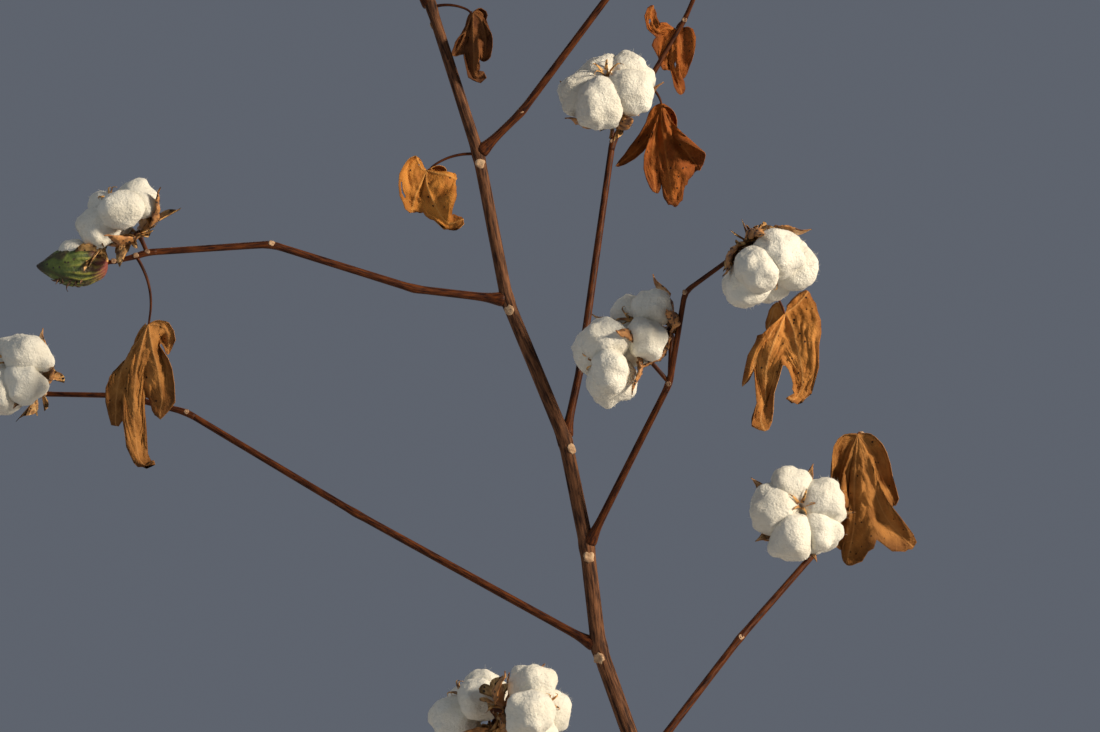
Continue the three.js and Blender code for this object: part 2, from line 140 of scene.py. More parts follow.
def dice(seed):
    """A seeded draw of numbers from 0 to 1, the same in every run."""
    state = (seed * 2654435761) % 2**32

    def draw():
        nonlocal state
        state = (state * 1664525 + 1013904223) % 2**32
        return state / 2**32

    return draw


def heading(azimuth, rise):
    turn, lift = math.radians(azimuth), math.radians(rise)
    return Vector((math.cos(lift) * math.cos(turn), math.cos(lift) * math.sin(turn), math.sin(lift)))


def frame_about(axis):
    """Two ways square to an axis and to each other."""
    level = Vector((0, 0, 1)) if abs(axis.z) < 0.9 else Vector((1, 0, 0))
    side = level.cross(axis).normalized()
    return side, axis.cross(side)


def taper(steps, place):
    """A value read off a list of (place, value) steps, straight between them."""
    if place <= steps[0][0]:
        return steps[0][1]
    for (start, low), (end, high) in zip(steps, steps[1:]):
        if place <= end:
            return low + (high - low) * (place - start) / (end - start)
    return steps[-1][1]


def runs_along(points):
    """How far along a chain of points each of them lies."""
    runs = [0]
    for before, after in zip(points, points[1:]):
        runs.append(runs[-1] + (after - before).length)
    return runs


def on_chain(points, runs, run):
    """The place that lies so far along a chain of points, or past one of its ends."""
    i = max(k for k in range(len(points) - 1) if k == 0 or runs[k] <= run)
    step = (points[i + 1] - points[i]) / (runs[i + 1] - runs[i])
    return points[i] + step * (run - runs[i])


def rings_along(points, radius_at, spacing, swollen=()):
    """Evenly spaced (place, radius, run) rings along a chain of points whose bends are eased."""
    runs = runs_along(points)
    length = runs[-1]
    ease = min(bend_reach, length * bend_share)
    count = max(3, round(length / spacing))
    rings = []
    for i in range(count + 1):
        run = length * i / count
        before, here, after = (on_chain(points, runs, run + shift) for shift in (-ease, 0, ease))
        place = (before + here * 2 + after) / 4
        swell = sum(math.exp(-((run - runs[k]) / node_reach) ** 2) for k in swollen)
        rings.append((place, radius_at(run / length, place) * (1 + node_swell * swell), run))
    return rings


def grain_of(mesh):
    """The layer that keeps each point's place round and along its limb, for the bark finish."""
    return mesh.verts.layers.float_vector.get("grain") or mesh.verts.layers.float_vector.new("grain")


def roll_limb(mesh, rings, sides, relief):
    """Rolls a flat sheet round the rings and closes it along its seam and at both ends."""
    grain = grain_of(mesh)
    steps = [(b[0] - a[0]).normalized() for a, b in zip(rings, rings[1:])]
    side = frame_about(steps[0])[0]
    ahead = steps[0]
    course = []
    for i, (place, radius, run) in enumerate(rings):
        step = (steps[max(i - 1, 0)] + steps[min(i, len(steps) - 1)]).normalized()
        side = ahead.rotation_difference(step) @ side
        ahead = step
        course.append((place, radius, run, side, ahead.cross(side)))
    closed = [(place, 0, run, side, front) for place, _, run, side, front in (course[0], course[-1])]
    course = [closed[0], *course, closed[1]]
    sheet = bmesh.ops.create_grid(mesh, x_segments=sides, y_segments=len(course) - 1, size=1)["verts"]
    for i, vert in enumerate(sheet):
        place, radius, run, side, front = course[i // (sides + 1)]
        turn = 2 * math.pi * (i % (sides + 1)) / sides
        across, forward = math.cos(turn), math.sin(turn)
        vert.co = place + (side * across + front * forward) * radius * relief(across, forward, run)
        vert[grain] = Vector((across * radius, forward * radius, run * grain_stretch))
    bmesh.ops.remove_doubles(mesh, verts=sheet, dist=merge_distance)


def make_piece(name, mesh, *finishes):
    """Turns a modelled mesh into a named, smoothly shaded piece that stands at its place."""
    bmesh.ops.recalc_face_normals(mesh, faces=mesh.faces)
    data = bpy.data.meshes.new(name)
    mesh.to_mesh(data)
    mesh.free()
    for finish in finishes:
        data.materials.append(finish)
    data.shade_smooth()
    piece = bpy.data.objects.new(name, data)
    scene.collection.objects.link(piece)
    return piece


def new_group(name, inputs, outputs):
    """An empty shader node group with its sockets, and its input and output nodes."""
    group = bpy.data.node_groups.new(name, "ShaderNodeTree")
    for label, kind in inputs:
        group.interface.new_socket(label, in_out="INPUT", socket_type=f"NodeSocket{kind}")
    for label, kind in outputs:
        group.interface.new_socket(label, in_out="OUTPUT", socket_type=f"NodeSocket{kind}")
    return group, group.nodes.new("NodeGroupInput"), group.nodes.new("NodeGroupOutput")


def feed(tree, node, sources):
    """Feeds a node's inputs, each from a socket, a number or a colour's red, green and blue."""
    for socket, source in sources:
        if isinstance(source, bpy.types.NodeSocket):
            tree.links.new(source, node.inputs[socket])
        else:
            node.inputs[socket].default_value = (*source, 1) if isinstance(source, tuple) else source


def add_node(tree, kind, sources=(), **settings):
    node = tree.nodes.new(f"ShaderNode{kind}")
    for setting, value in settings.items():
        setattr(node, setting, value)
    feed(tree, node, sources)
    return node


def mix_colours(tree, share, first, second):
    return add_node(tree, "Mix", [(0, share), (6, first), (7, second)], data_type="RGBA").outputs[2]


def lay_colours(tree, shader, group, place, looks, depth):
    """Lays a group's colours and fine relief on a finish, with the finish's own values."""
    worn = add_node(tree, "Group", [("Place", place), *looks.items()], node_tree=group)
    bump = add_node(tree, "Bump", [("Height", worn.outputs["Height"]), ("Distance", depth)])
    feed(tree, shader, [("Base Color", worn.outputs["Color"]), ("Normal", bump.outputs["Normal"])])


grain_group, grain_in, grain_out = new_group(
    "lengthwise_grain",
    [("Place", "Vector"), ("Dark", "Color"), ("Light", "Color"), ("Fineness", "Float")],
    [("Color", "Color"), ("Height", "Float")],
)
streaks = add_node(grain_group, "TexNoise", [
    ("Vector", grain_in.outputs["Place"]), ("Scale", grain_in.outputs["Fineness"]), ("Detail", 6),
    ("Roughness", 0.6),
])
streak_share = add_node(grain_group, "MapRange", [
    ("Value", streaks.outputs["Fac"]), ("From Min", 0.36), ("From Max", 0.68),
])
streak_colour = mix_colours(
    grain_group, streak_share.outputs["Result"], grain_in.outputs["Dark"], grain_in.outputs["Light"],
)
feed(grain_group, grain_out, [("Color", streak_colour), ("Height", streaks.outputs["Fac"])])


def bark_finish(name, dark, light, fineness, roughness, depth, gloss=0.5):
    """A woody finish with dark and light streaks along its limb."""
    finish, tree, shader = new_finish(name, roughness)
    shader.inputs["Specular IOR Level"].default_value = gloss
    place = add_node(tree, "Attribute", attribute_name="grain").outputs["Vector"]
    lay_colours(tree, shader, grain_group, place, {"Dark": dark, "Light": light, "Fineness": fineness}, depth)
    return finish


def stem_points():
    """The foot, the nodes and the tip of the stem, which sways a little away from each branch."""
    points = [Vector()]
    for i, (length, lean) in enumerate(stem_stretches):
        azimuth = node_azimuths[i - 1] if 0 < i <= len(node_azimuths) else 0
        sway = math.radians(-stem_sway * math.sin(math.radians(azimuth)))
        lean = math.radians(lean)
        step = Vector((-math.sin(lean), math.sin(sway), math.cos(lean)))
        points.append(points[-1] + step * length * MM)
    return points


def stem_radius(place):
    return taper(stem_taper, place.z / MM) * MM


def crease(waves, across, forward, run):
    """How far uneven bark stands out, as a share of the limb's radius."""
    return sum(
        depth * noise.noise(Vector((across * pitch, forward * pitch, run * along + shift)))
        for pitch, along, shift, depth in waves
    )


def stem_relief(across, forward, run):
    ribs = foot_rib_depth * math.exp(-run / foot_rib_height)
    ribs *= math.cos(foot_ribs * math.atan2(forward, across))
    warts = noise.noise(Vector((across * wart_pitch[0], forward * wart_pitch[0], run * wart_pitch[1])))
    warts = wart_depth * max(0, warts - wart_level)
    return 1 + ribs + crease(stem_creases, across, forward, run) + warts


stem_course = stem_points()
nodes = stem_course[1:]
foot_steps = [Vector((0, 0, height * MM)) for height, _ in stem_taper[:3]]
stem_rings = rings_along(
    foot_steps + nodes, lambda _, place: stem_radius(place), stem_spacing,
    swollen=range(3, len(nodes) + 2),
)
stem_bark = bark_finish(
    "stem_bark", (0.02, 0.008, 0.005), (0.21, 0.088, 0.038), 560, 0.7, 0.5 * MM, gloss=0.12,
)
stem_mesh = bmesh.new()
roll_limb(stem_mesh, stem_rings, stem_sides, stem_relief)
stem = make_piece("main_stem_bark", stem_mesh, stem_bark)
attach(stem, "root")
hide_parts("main_stem")

# Boughs: sixteen thin red-brown branches, one from each node of the stem, that grow out
# of a thick smooth collar and bend a little at each node of their own. Their tips stop where the
# twigs of the spray begin.

# A course is the (length, rise) of each stretch in millimetres and degrees. A branch with a seed
# has its spray grown by the rule, with so many bolls and leaves.
branches = [
    {"name": "low_front", "course": [(170, 30), (60, 18)], "seed": 11, "fruit": 3, "foliage": 1},
    {"name": "low_right", "course": [(210, 32), (90, 24)], "seed": 12, "fruit": 3, "foliage": 2},
    {"name": "low_back", "course": [(150, 24), (80, 14)], "seed": 13, "fruit": 3, "foliage": 1},
    {"name": "front", "course": [(110, 33), (60, 26)]},
    {"name": "right_back", "course": [(120, 47), (91, 43)]},
    {"name": "long_left", "course": [(195, 28.6), (139, 30.6)]},
    {"name": "right", "course": [(134, 59)]},
    {"name": "back", "course": [(60, 60), (172, 69)]},
    {"name": "left", "course": [(66, 6.5), (105, 17), (86, -4)]},
    {"name": "upper_right", "course": [(42, 44), (140, 53)]},
    {"name": "upper_back", "course": [(54, 52), (74, 60)], "seed": 21, "fruit": 2, "foliage": 1},
    {"name": "upper_front", "course": [(90, 45)], "seed": 22, "fruit": 2, "foliage": 1},
    {"name": "crown_right_back", "course": [(80, 45)], "seed": 23, "fruit": 1, "foliage": 1},
    {"name": "crown_left", "course": [(60, 50)], "seed": 34, "fruit": 1, "foliage": 0},
    {"name": "crown_right_front", "course": [(45, 50)], "seed": 25, "fruit": 1, "foliage": 1},
    {"name": "crown_back", "course": [(35, 55)], "seed": 26, "fruit": 1, "foliage": 0},
]
bough_radii = (2.9 * MM, 2.3 * MM)
bough_share = 0.8
bough_stub = 4 * MM
bough_sides = 16
bough_spacing = 1.4 * MM
collar_growth = 0.75
collar_reach = 8 * MM
hidden_share = 0.6
spray_gap = 0.3 * MM
branch_creases = [(2.4, 18, 0, 0.03), (5, 45, 12, 0.014)]


def bough_points(i, branch):
    """The chain of points that a branch follows from its node on the stem."""
    points = [nodes[i].copy()]
    for length, rise in branch["course"]:
        points.append(points[-1] + heading(node_azimuths[i], rise) * length * MM)
    return points


def bark_relief(across, forward, run):
    return 1 + crease(branch_creases, across, forward, run)


branch_bark = bark_finish(
    "branch_bark", (0.015, 0.005, 0.004), (0.13, 0.036, 0.008), 800, 0.5, 0.25 * MM, gloss=0.1,
)
for i, branch in enumerate(branches):
    girth = min(1, bough_share * stem_radius(nodes[i]) / bough_radii[0])
    thick, thin = (radius * girth for radius in bough_radii)
    points = bough_points(i, branch)
    branch["outward"] = heading(node_azimuths[i], branch["course"][-1][1])
    branch["start"] = points[-1] - branch["outward"] * (bough_stub - spray_gap)
    branch["girth"] = girth
    branch["inner_nodes"] = points[1:-1]
    points[-1] = points[-1] - branch["outward"] * bough_stub
    surface = stem_radius(nodes[i])

    def bough_radius(share, place):
        from_stem = max(0, (place - points[0]).length - surface) / (collar_reach * girth)
        return (thick + (thin - thick) * share) * (1 + collar_growth * math.exp(-from_stem ** 1.5))

    rings = rings_along(points, bough_radius, bough_spacing, swollen=range(1, len(points) - 1))
    inner = [(place, min(radius, thick), run) for place, radius, run in rings if run < surface * hidden_share]
    mesh = bmesh.new()
    roll_limb(mesh, inner + rings[len(inner):], bough_sides, bark_relief)
    bough = make_piece(f"{branch['name']}_bough_bark", mesh, branch_bark)
    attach(bough, "root")
    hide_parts(f"{branch['name']}_bough")

# Twigs and stalks: the zigzag end of every branch, with a short stalk to each boll. Where the
# branch isn't one of those set out here, it grows by a seeded rule that turns left and right in
# turn. Each spray's twigs and stalks are one piece.

# What is set out here is in millimetres and degrees. A twig, stalk or petiole is (length, turn about
# the upright, rise). A boll is its node, stalk, (turn, rise) of its axis and size, and then (number,
# turn) of its locks, or green. A leaf is its node, petiole, (length, width) of the blade and the turn
# that its face looks to, and then the (turn, rise) in which it hangs.
set_out = {
    "front": {
        "twigs": [(40, 215, 40), (36, 250, 30)],
        "bolls": [(1, (10, 180, 40), (190, 40), 60), (2, (10, 320, 0), (330, 10), 62)],
        "leaves": [(0, (38, 300, -25), (74, 44), 300)],
    },
    "right_back": {
        "twigs": [(88, 20, 68)],
        "bolls": [(0, (27, 183, 50), (275, 18), 66, (5, 17))],
        "leaves": [(1, (8, 250, 0), (88, 56), 250, (350, -78))],
    },
    "long_left": {
        "twigs": [(47, 178, 14.6), (56, 172, 1), (46, 184, 13)],
        "bolls": [(2, (14, 240, 30), (230, 30), 60), (3, (12, 150, 40), (160, 40), 56)],
        "leaves": [(3, (36, 200, -30), (76, 44), 300)],
    },
    "right": {
        "twigs": [(64.5, 320, 77.7), (41.7, 335, 33.5)],
        "bolls": [
            (0, (35, 185, 49), (195, -20), 58, (4, 30)),
            (0, (38, 80, 75), (200, 14), 60, (4, 15)),
            (2, (17, 340, 38), (315, -45), 62, (5, 4)),
        ],
        "leaves": [(2, (60, 35, -39), (82, 50), 260)],
    },
    "back": {
        "twigs": [(50, 20, 58), (55, 20, 58), (32, 345, 66)],
        "bolls": [(0, (18, 90, 84), (258, 52), 70, (5, 34)), (3, (16, 40, 70), (60, 60), 54)],
        "leaves": [(1, (18, 20, -50), (73, 58), 270), (2, (9, 170, -48), (52, 34), 250)],
    },
    "left": {
        "twigs": [(8, 190, -20), (16, 190, -14)],
        "bolls": [(0, (12.5, 180, 66), (200, 50), 60, (4, 45)), (2, (4, 185, -5), (185, -5), 46, "green")],
        "leaves": [(1, (48, 0, -80), (101, 50), 270, (180, -86))],
    },
    "upper_right": {
        "twigs": [(50, 345, 40), (44, 5, 60)],
        "bolls": [(1, (14, 60, 40), (40, 40), 58), (2, (12, 300, 50), (290, 50), 54)],
        "leaves": [(2, (34, 240, -20), (70, 40), 300)],
    },
    "tip": {
        "twigs": [(12, 150, 75)],
        "bolls": [(1, (10, 120, 75), (140, 70), 40)],
        "leaves": [(1, (26, 300, 0), (44, 26), 300)],
    },
}
spray_seed = 100
tip_seed = 99
# The growing rule's values. A pair is a least value and a spread, or for a way a turn and a rise.
twig_length = (44, 12)
twig_shrink = 0.86
twig_turn = (14, 10)
twig_lift = 16
stalk_length = (12, 8)
stalk_way = (70, 40)
boll_turn = (40, 30)
boll_rise = (20, 40)
boll_size = (52, 13)
blade_length = (68, 24)
blade_slimness = 0.56
petiole_length = (34, 16)
petiole_way = (75, -25)
twig_radius = 1.5 * MM
twig_sides = 14
twig_spacing = 2 * MM
twig_overlap = 3 * MM
stalk_radius = 1.5 * MM
stalk_foot = 2.6 * MM
stalk_spacing = 1.5 * MM
stalk_sunk = 0.06
lock_jitter = 0.24
hook_strength = 1.1
lobe_spread = 0.8
fold_angle = 1.05
fold_spread = 0.3


def drawn(span, draw):
    return span[0] + span[1] * draw()


def grow_spray(azimuth, branch):
    """The growing rule: a zigzag of twigs, a boll on the outer side of each node, then leaves."""
    draw = dice(branch["seed"])
    rise = branch["course"][-1][1]
    grown = {"twigs": [], "bolls": [], "leaves": []}
    side = -1 if draw() < 0.5 else 1
    for node in range(branch["fruit"]):
        length = drawn(twig_length, draw) * twig_shrink ** node
        turn = side * drawn(twig_turn, draw)
        lift = twig_lift * (draw() - 0.5)
        grown["twigs"].append((length, azimuth + turn, rise + lift))
        stalk = (drawn(stalk_length, draw), azimuth + side * stalk_way[0], stalk_way[1])
        axis = (azimuth + side * drawn(boll_turn, draw), drawn(boll_rise, draw))
        grown["bolls"].append((node + 1, stalk, axis, drawn(boll_size, draw)))
        side = -side
    for node in range(branch["foliage"]):
        length = drawn(blade_length, draw)
        petiole = (drawn(petiole_length, draw), azimuth + side * petiole_way[0], petiole_way[1])
        grown["leaves"].append((node, petiole, (length, length * blade_slimness), 360 * draw()))
        side = -side
    return grown


def draw_blade(draw):
    """The small differences of one leaf: which way it hooks, how its lobes hang, how it folds."""
    hook = hook_strength * (-1 if draw() < 0.5 else 1)
    lobes = [1 + lobe_spread * (draw() - 0.5) for _ in range(2)]
    return hook, lobes, fold_angle * (1 + fold_spread * (draw() - 0.5))


def spray_parts(start, outward, grown, radius, seed):
    """Where the twigs, bolls and leaves of one spray are, with the draws that shape each."""
    draw = dice(seed)
    points = [start, start + outward * (bough_stub - spray_gap)]
    for length, azimuth, rise in grown["twigs"]:
        points.append(points[-1] + heading(azimuth, rise) * length * MM)
    bolls = []
    for node, (reach, azimuth, rise), axis, size, *known in grown["bolls"]:
        locks = 4 if draw() < 0.5 else 5
        node_place = points[node + 1]
        boll = {
            "node": node_place, "base": node_place + heading(azimuth, rise) * reach * MM,
            "axis": heading(*axis), "size": size * MM, "green": known == ["green"],
        }
        if not boll["green"]:
            turn = 360 * draw()
            if known:
                locks, turn = known[0]
            boll.update(locks=locks, spin=math.radians(turn))
            boll["bulges"] = [1 + lock_jitter * (draw() - 0.5) for _ in range(locks)]
        bolls.append(boll)
    leaves = [(points[leaf[0] + 1], leaf[1:], draw_blade(draw)) for leaf in grown["leaves"]]
    return {"points": points, "radius": radius, "bolls": bolls, "leaves": leaves}


sprays = {}
for i, branch in enumerate(branches):
    grown = set_out.get(branch["name"]) or grow_spray(node_azimuths[i], branch)
    radius = bough_radii[1] * branch["girth"]
    sprays[branch["name"]] = spray_parts(branch["start"], branch["outward"], grown, radius, spray_seed + i)
stem_tip = stem_course[-1]
tipward = (stem_course[-1] - stem_course[-2]).normalized()
sprays["tip"] = spray_parts(
    stem_tip + tipward * spray_gap, tipward, set_out["tip"], stem_radius(stem_tip), tip_seed,
)

for name, spray in sprays.items():
    mesh = bmesh.new()
    overlap = (spray["points"][1] - spray["points"][0]).normalized() * twig_overlap
    course = [spray["points"][0] - overlap, *spray["points"][1:]]
    wide, narrow = spray["radius"], min(spray["radius"], twig_radius)
    rings = rings_along(
        course, lambda share, _: wide + (narrow - wide) * share, twig_spacing,
        swollen=range(1, len(course)),
    )
    roll_limb(mesh, rings, twig_sides, bark_relief)
    for boll in spray["bolls"]:
        end = boll["base"] + boll["axis"] * stalk_sunk * boll["size"]
        rings = rings_along(
            [boll["node"], boll["base"], end],
            lambda share, _: stalk_radius + (stalk_foot - stalk_radius) * max(0, share - 0.5) * 2,
            stalk_spacing,
        )
        roll_limb(mesh, rings, twig_sides, bark_relief)
    twigs = make_piece(f"{name}_twigs", mesh, branch_bark)
    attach(twigs, "root")
    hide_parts(f"{name}_spray")

# Leaf scars: a pale, slightly domed disc of corky tissue beside every branch, where its dropped
# leaf was joined, and a smaller one at each node of the branches and twigs.
scar_turns = {"upper_right": -85, "right": -50, "left": 60, "long_left": 65, "back": -115}
stem_scar_size = 4.2 * MM
twig_scar_size = 2.2 * MM
scar_proud = 0.2
scar_drop = 7 * MM
small_scar_drop = 12 * MM
scar_rim = 0.07
scar_rings = 9
# Pitch and depth of the ragged outline and of the rough face.
scar_ragged = (500, 0.35)
scar_rough = (1100, 0.1)
scar_grain = 0.4


def press_scar(mesh, centre, outward, size):
    """A flattened ball pressed into the bark, with a fine rim left by its edge."""
    turn = outward.to_track_quat("Z", "Y").to_matrix().to_4x4()
    shape = Matrix.Translation(centre) @ turn @ Matrix.Diagonal((size, size, size * scar_proud, 1))
    grain = grain_of(mesh)
    ball = bmesh.ops.create_uvsphere(mesh, u_segments=14, v_segments=8, radius=1, matrix=shape)["verts"]
    for vert in ball:
        local = vert.co - centre
        flat = local - outward * local.dot(outward)
        vert.co += outward * size * scar_rim * math.cos(scar_rings * flat.length / size)
        ragged, rough = (depth * noise.noise(vert.co * pitch) for pitch, depth in (scar_ragged, scar_rough))
        vert.co += flat * ragged + outward * size * rough
        vert[grain] = vert.co * scar_grain


scar_cork = bark_finish("scar_cork", (0.3, 0.16, 0.08), (0.62, 0.42, 0.24), 700, 0.8, 0.3 * MM)
scar_wood = bark_finish("scar_wood", (0.12, 0.055, 0.028), (0.5, 0.31, 0.17), 900, 0.8, 0.4 * MM)
scar_mesh = bmesh.new()
for i, branch in enumerate(branches):
    azimuth = node_azimuths[i] + scar_turns.get(branch["name"], 0)
    along = (nodes[i] - stem_course[i]).normalized()
    outward = heading(azimuth, 0)
    outward = (outward - along * outward.dot(along)).normalized()
    drop = scar_drop if branch["name"] in scar_turns else small_scar_drop
    centre = nodes[i] - along * drop + outward * stem_radius(nodes[i]) * 1.02
    size = min(stem_scar_size, stem_radius(nodes[i]) * 0.8)
    press_scar(scar_mesh, centre, outward, size)
    for k, point in enumerate(branch["inner_nodes"]):
        away = heading(node_azimuths[i] + (100 if k % 2 else -100), 20)
        press_scar(scar_mesh, point + away * bough_radii[1] * branch["girth"] * 1.05, away, twig_scar_size)
stem_scars = set(scar_mesh.faces)
for spray in sprays.values():
    for k, point in enumerate(spray["points"][1:]):
        ahead = (point - spray["points"][k]).normalized()
        away = Vector((0, -1, 0.35))
        away = (away - ahead * away.dot(ahead)).normalized()
        press_scar(scar_mesh, point + away * spray["radius"] * 0.95, away, twig_scar_size * 0.9)
for face in scar_mesh.faces:
    face.material_index = 0 if face in stem_scars else 1
scars = make_piece("leaf_scars", scar_mesh, scar_cork, scar_wood)
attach(scars, "root")

# Lint: each ripe boll has four or five locks of white fibre, one from each chamber of the husk. A
# lock is a heap of soft balls in a ruffled skin of its own, so that deep creases part it from its
# neighbours, with loose fibres all over it. The green boll shows a first white bulge.
lock_centre = (0.24, 0.4)
lock_radii = {4: (0.265, 0.26, 0.3), 5: (0.265, 0.24, 0.3)}
lock_droop = 0.16
lock_turn_play = 0.3
lock_rise = (0.86, 0.28)
lock_fullness = (0.85, 0.24)
lock_breadth = (0.9, 0.3)
lock_flatten = 0.7
tufts_per_lock = 13
tuft_turn = 2.2
tuft_rise = 1.9
tuft_sag = 0.03
tuft_size = (0.08, 0.15)
tuft_seat = 0.7
lint_voxel = 2.0 * MM
lint_smoothing = 3
ruffles = [(55, 1.3 * MM), (105, 1.2 * MM), (210, 0.85 * MM)]
ruffle_level = 0.1
fibres_per_boll = 1100
fibre_length = (1.6 * MM, 4.6 * MM)
fibre_width = 0.11 * MM
fibre_root = 0.6 * MM
fibre_lean = 1.8
lint_seed = 500
# The bulge of the green boll, in shares of its size along its axis, to the camera's side and up.
crack_place = (0.5, 0.07, 0.22)
crack_radii = (0.22, 0.2, 0.2)


def boll_point(boll, turn, reach, height):
    """A place in a boll, given its turn about the axis, and its reach and height in shares."""
    side, front = frame_about(boll["axis"])
    turn += boll["spin"]
    outward = side * math.sin(turn) - front * math.cos(turn)
    return boll["base"] + (boll["axis"] * height + outward * reach) * boll["size"]


def ways_at(boll, turn):
    """The ways outwards and across at a turn about a boll's axis."""
    outward = (boll_point(boll, turn, 1, 0) - boll["base"]).normalized()
    return outward, boll["axis"].cross(outward)


def add_ball(mesh, place, basis, radii):
    shape = Matrix.Translation(place) @ (basis @ Matrix.Diagonal(radii)).to_4x4()
    bmesh.ops.create_icosphere(mesh, subdivisions=3, radius=1, matrix=shape)


def heap_lock(boll, lock, draw):
    """One lock: a long soft body with smaller tufts half sunk in its outer side."""
    mesh = bmesh.new()
    turn = 2 * math.pi * (lock + 0.5 + lock_turn_play * (draw() - 0.5)) / boll["locks"]
    reach, height = lock_centre
    centre = boll_point(boll, turn, reach * boll["bulges"][lock], height * drawn(lock_rise, draw))
    basis = Matrix((*ways_at(boll, turn), boll["axis"])).transposed()
    radii = Vector(lock_radii[boll["locks"]]) * boll["size"] * drawn(lock_fullness, draw)
    wide = drawn(lock_breadth, draw)
    radii = Vector((radii.x, radii.y * wide, radii.z / wide ** lock_flatten))
    centre.z -= lock_droop * boll["size"] * reach
    add_ball(mesh, centre, basis, radii)
    for _ in range(tufts_per_lock):
        spread, rise = tuft_turn * (draw() - 0.5), tuft_rise * (draw() - 0.45)
        way = Vector((math.cos(spread), math.sin(spread), rise)).normalized()
        place = centre + basis @ Vector(a * b for a, b in zip(way, radii * tuft_seat))
        place.z -= tuft_sag * boll["size"] * draw()
        size = (tuft_size[0] + (tuft_size[1] - tuft_size[0]) * draw()) * boll["size"]
        bmesh.ops.create_icosphere(mesh, subdivisions=2, radius=size, matrix=Matrix.Translation(place))
    return mesh


def heap_crack(boll):
    """The first white that shows along the crack on the upper side of the green boll."""
    side, front = frame_about(boll["axis"])
    basis = Matrix((boll["axis"], side if side.y < 0 else -side, front)).transposed()
    place = boll["base"] + basis @ Vector(crack_place) * boll["size"]
    mesh = bmesh.new()
    add_ball(mesh, place, basis, Vector(crack_radii) * boll["size"])
    return mesh


def wrap_lint(heap, lint):
    """Adds one even skin round a heap of balls to the lint, smoothed where they meet and ruffled."""
    data = bpy.data.meshes.new("heap")
    heap.to_mesh(data)
    heap.free()
    body = bpy.data.objects.new("heap", data)
    scene.collection.objects.link(body)
    skin = body.modifiers.new("skin", "REMESH")
    skin.mode = "VOXEL"
    skin.voxel_size = lint_voxel
    wrapped = bpy.data.meshes.new_from_object(body.evaluated_get(bpy.context.evaluated_depsgraph_get()))
    bpy.data.objects.remove(body)
    mesh = bmesh.new()
    mesh.from_mesh(wrapped)
    axes = {"use_axis_x": True, "use_axis_y": True, "use_axis_z": True}
    for _ in range(lint_smoothing):
        bmesh.ops.smooth_vert(mesh, verts=mesh.verts, factor=0.5, **axes)
    mesh.normal_update()
    for vert in mesh.verts:
        push = sum(depth * (noise.noise(vert.co * pitch) - ruffle_level) for pitch, depth in ruffles)
        vert.co += vert.normal * push
    mesh.to_mesh(wrapped)
    mesh.free()
    lint.from_mesh(wrapped)


def add_fibres(mesh, count, draw):
    """Loose fibres: slim three-sided spikes with their roots sunk in the lint."""
    faces = list(mesh.faces)
    corners, sides = [], []
    for _ in range(count):
        face = faces[int(draw() * len(faces))]
        lean = Vector((draw() - 0.5, draw() - 0.5, draw() - 0.5)) * fibre_lean
        way = (face.normal + lean).normalized()
        length = fibre_length[0] + (fibre_length[1] - fibre_length[0]) * draw() ** 2
        across, front = frame_about(way)
        root = face.calc_center_median() - way * fibre_root
        first = len(corners)
        corners.append(root + way * length)
        for third in range(3):
            turn = 2 * math.pi * third / 3
            corners.append(root + (across * math.cos(turn) + front * math.sin(turn)) * fibre_width)
        sides += [(first, first + 1, first + 2), (first, first + 2, first + 3)]
        sides += [(first, first + 3, first + 1), (first + 1, first + 3, first + 2)]
    fibres = bpy.data.meshes.new("fibres")
    fibres.from_pydata(corners, [], sides)
    mesh.from_mesh(fibres)


mottle_group, mottle_in, mottle_out = new_group(
    "mottling",
    [
        ("Place", "Vector"), ("Base", "Color"), ("Patch", "Color"), ("Speck", "Color"),
        ("Patch Scale", "Float"), ("Patch Share", "Float"), ("Speck Scale", "Float"), ("Speck Size", "Float"),
        ("Relief Scale", "Float"),
    ],
    [("Color", "Color"), ("Height", "Float")],
)
patches = add_node(mottle_group, "TexNoise", [
    ("Vector", mottle_in.outputs["Place"]), ("Scale", mottle_in.outputs["Patch Scale"]), ("Detail", 5),
])
patch_share = add_node(mottle_group, "MapRange", [
    ("Value", patches.outputs["Fac"]), ("From Min", 0.4), ("From Max", 0.66),
    ("To Max", mottle_in.outputs["Patch Share"]),
])
specks = add_node(mottle_group, "TexVoronoi", [
    ("Vector", mottle_in.outputs["Place"]), ("Scale", mottle_in.outputs["Speck Scale"]), ("Randomness", 1),
])
relief = add_node(mottle_group, "TexNoise", [
    ("Vector", mottle_in.outputs["Place"]), ("Scale", mottle_in.outputs["Relief Scale"]), ("Detail", 4),
    ("Roughness", 0.65),
])
uneven = add_node(mottle_group, "Math", [
    (0, specks.outputs["Distance"]), (1, relief.outputs["Fac"]),
], operation="MULTIPLY")
speck_share = add_node(mottle_group, "Math", [
    (0, uneven.outputs[0]), (1, mottle_in.outputs["Speck Size"]),
], operation="LESS_THAN")
patched = mix_colours(
    mottle_group, patch_share.outputs["Result"], mottle_in.outputs["Base"], mottle_in.outputs["Patch"],
)
specked = mix_colours(mottle_group, speck_share.outputs[0], patched, mottle_in.outputs["Speck"])
feed(mottle_group, mottle_out, [("Color", specked), ("Height", relief.outputs["Fac"])])


def mottled_finish(name, roughness, depth, **looks):
    """A dull plant finish: a base colour with soft patches and small specks, and a fine relief."""
    finish, tree, shader = new_finish(name, roughness)
    place = add_node(tree, "TexCoord").outputs["Object"]
    named = {look.replace("_", " ").title(): value for look, value in looks.items()}
    lay_colours(tree, shader, mottle_group, place, named, depth)
    return finish, tree, shader


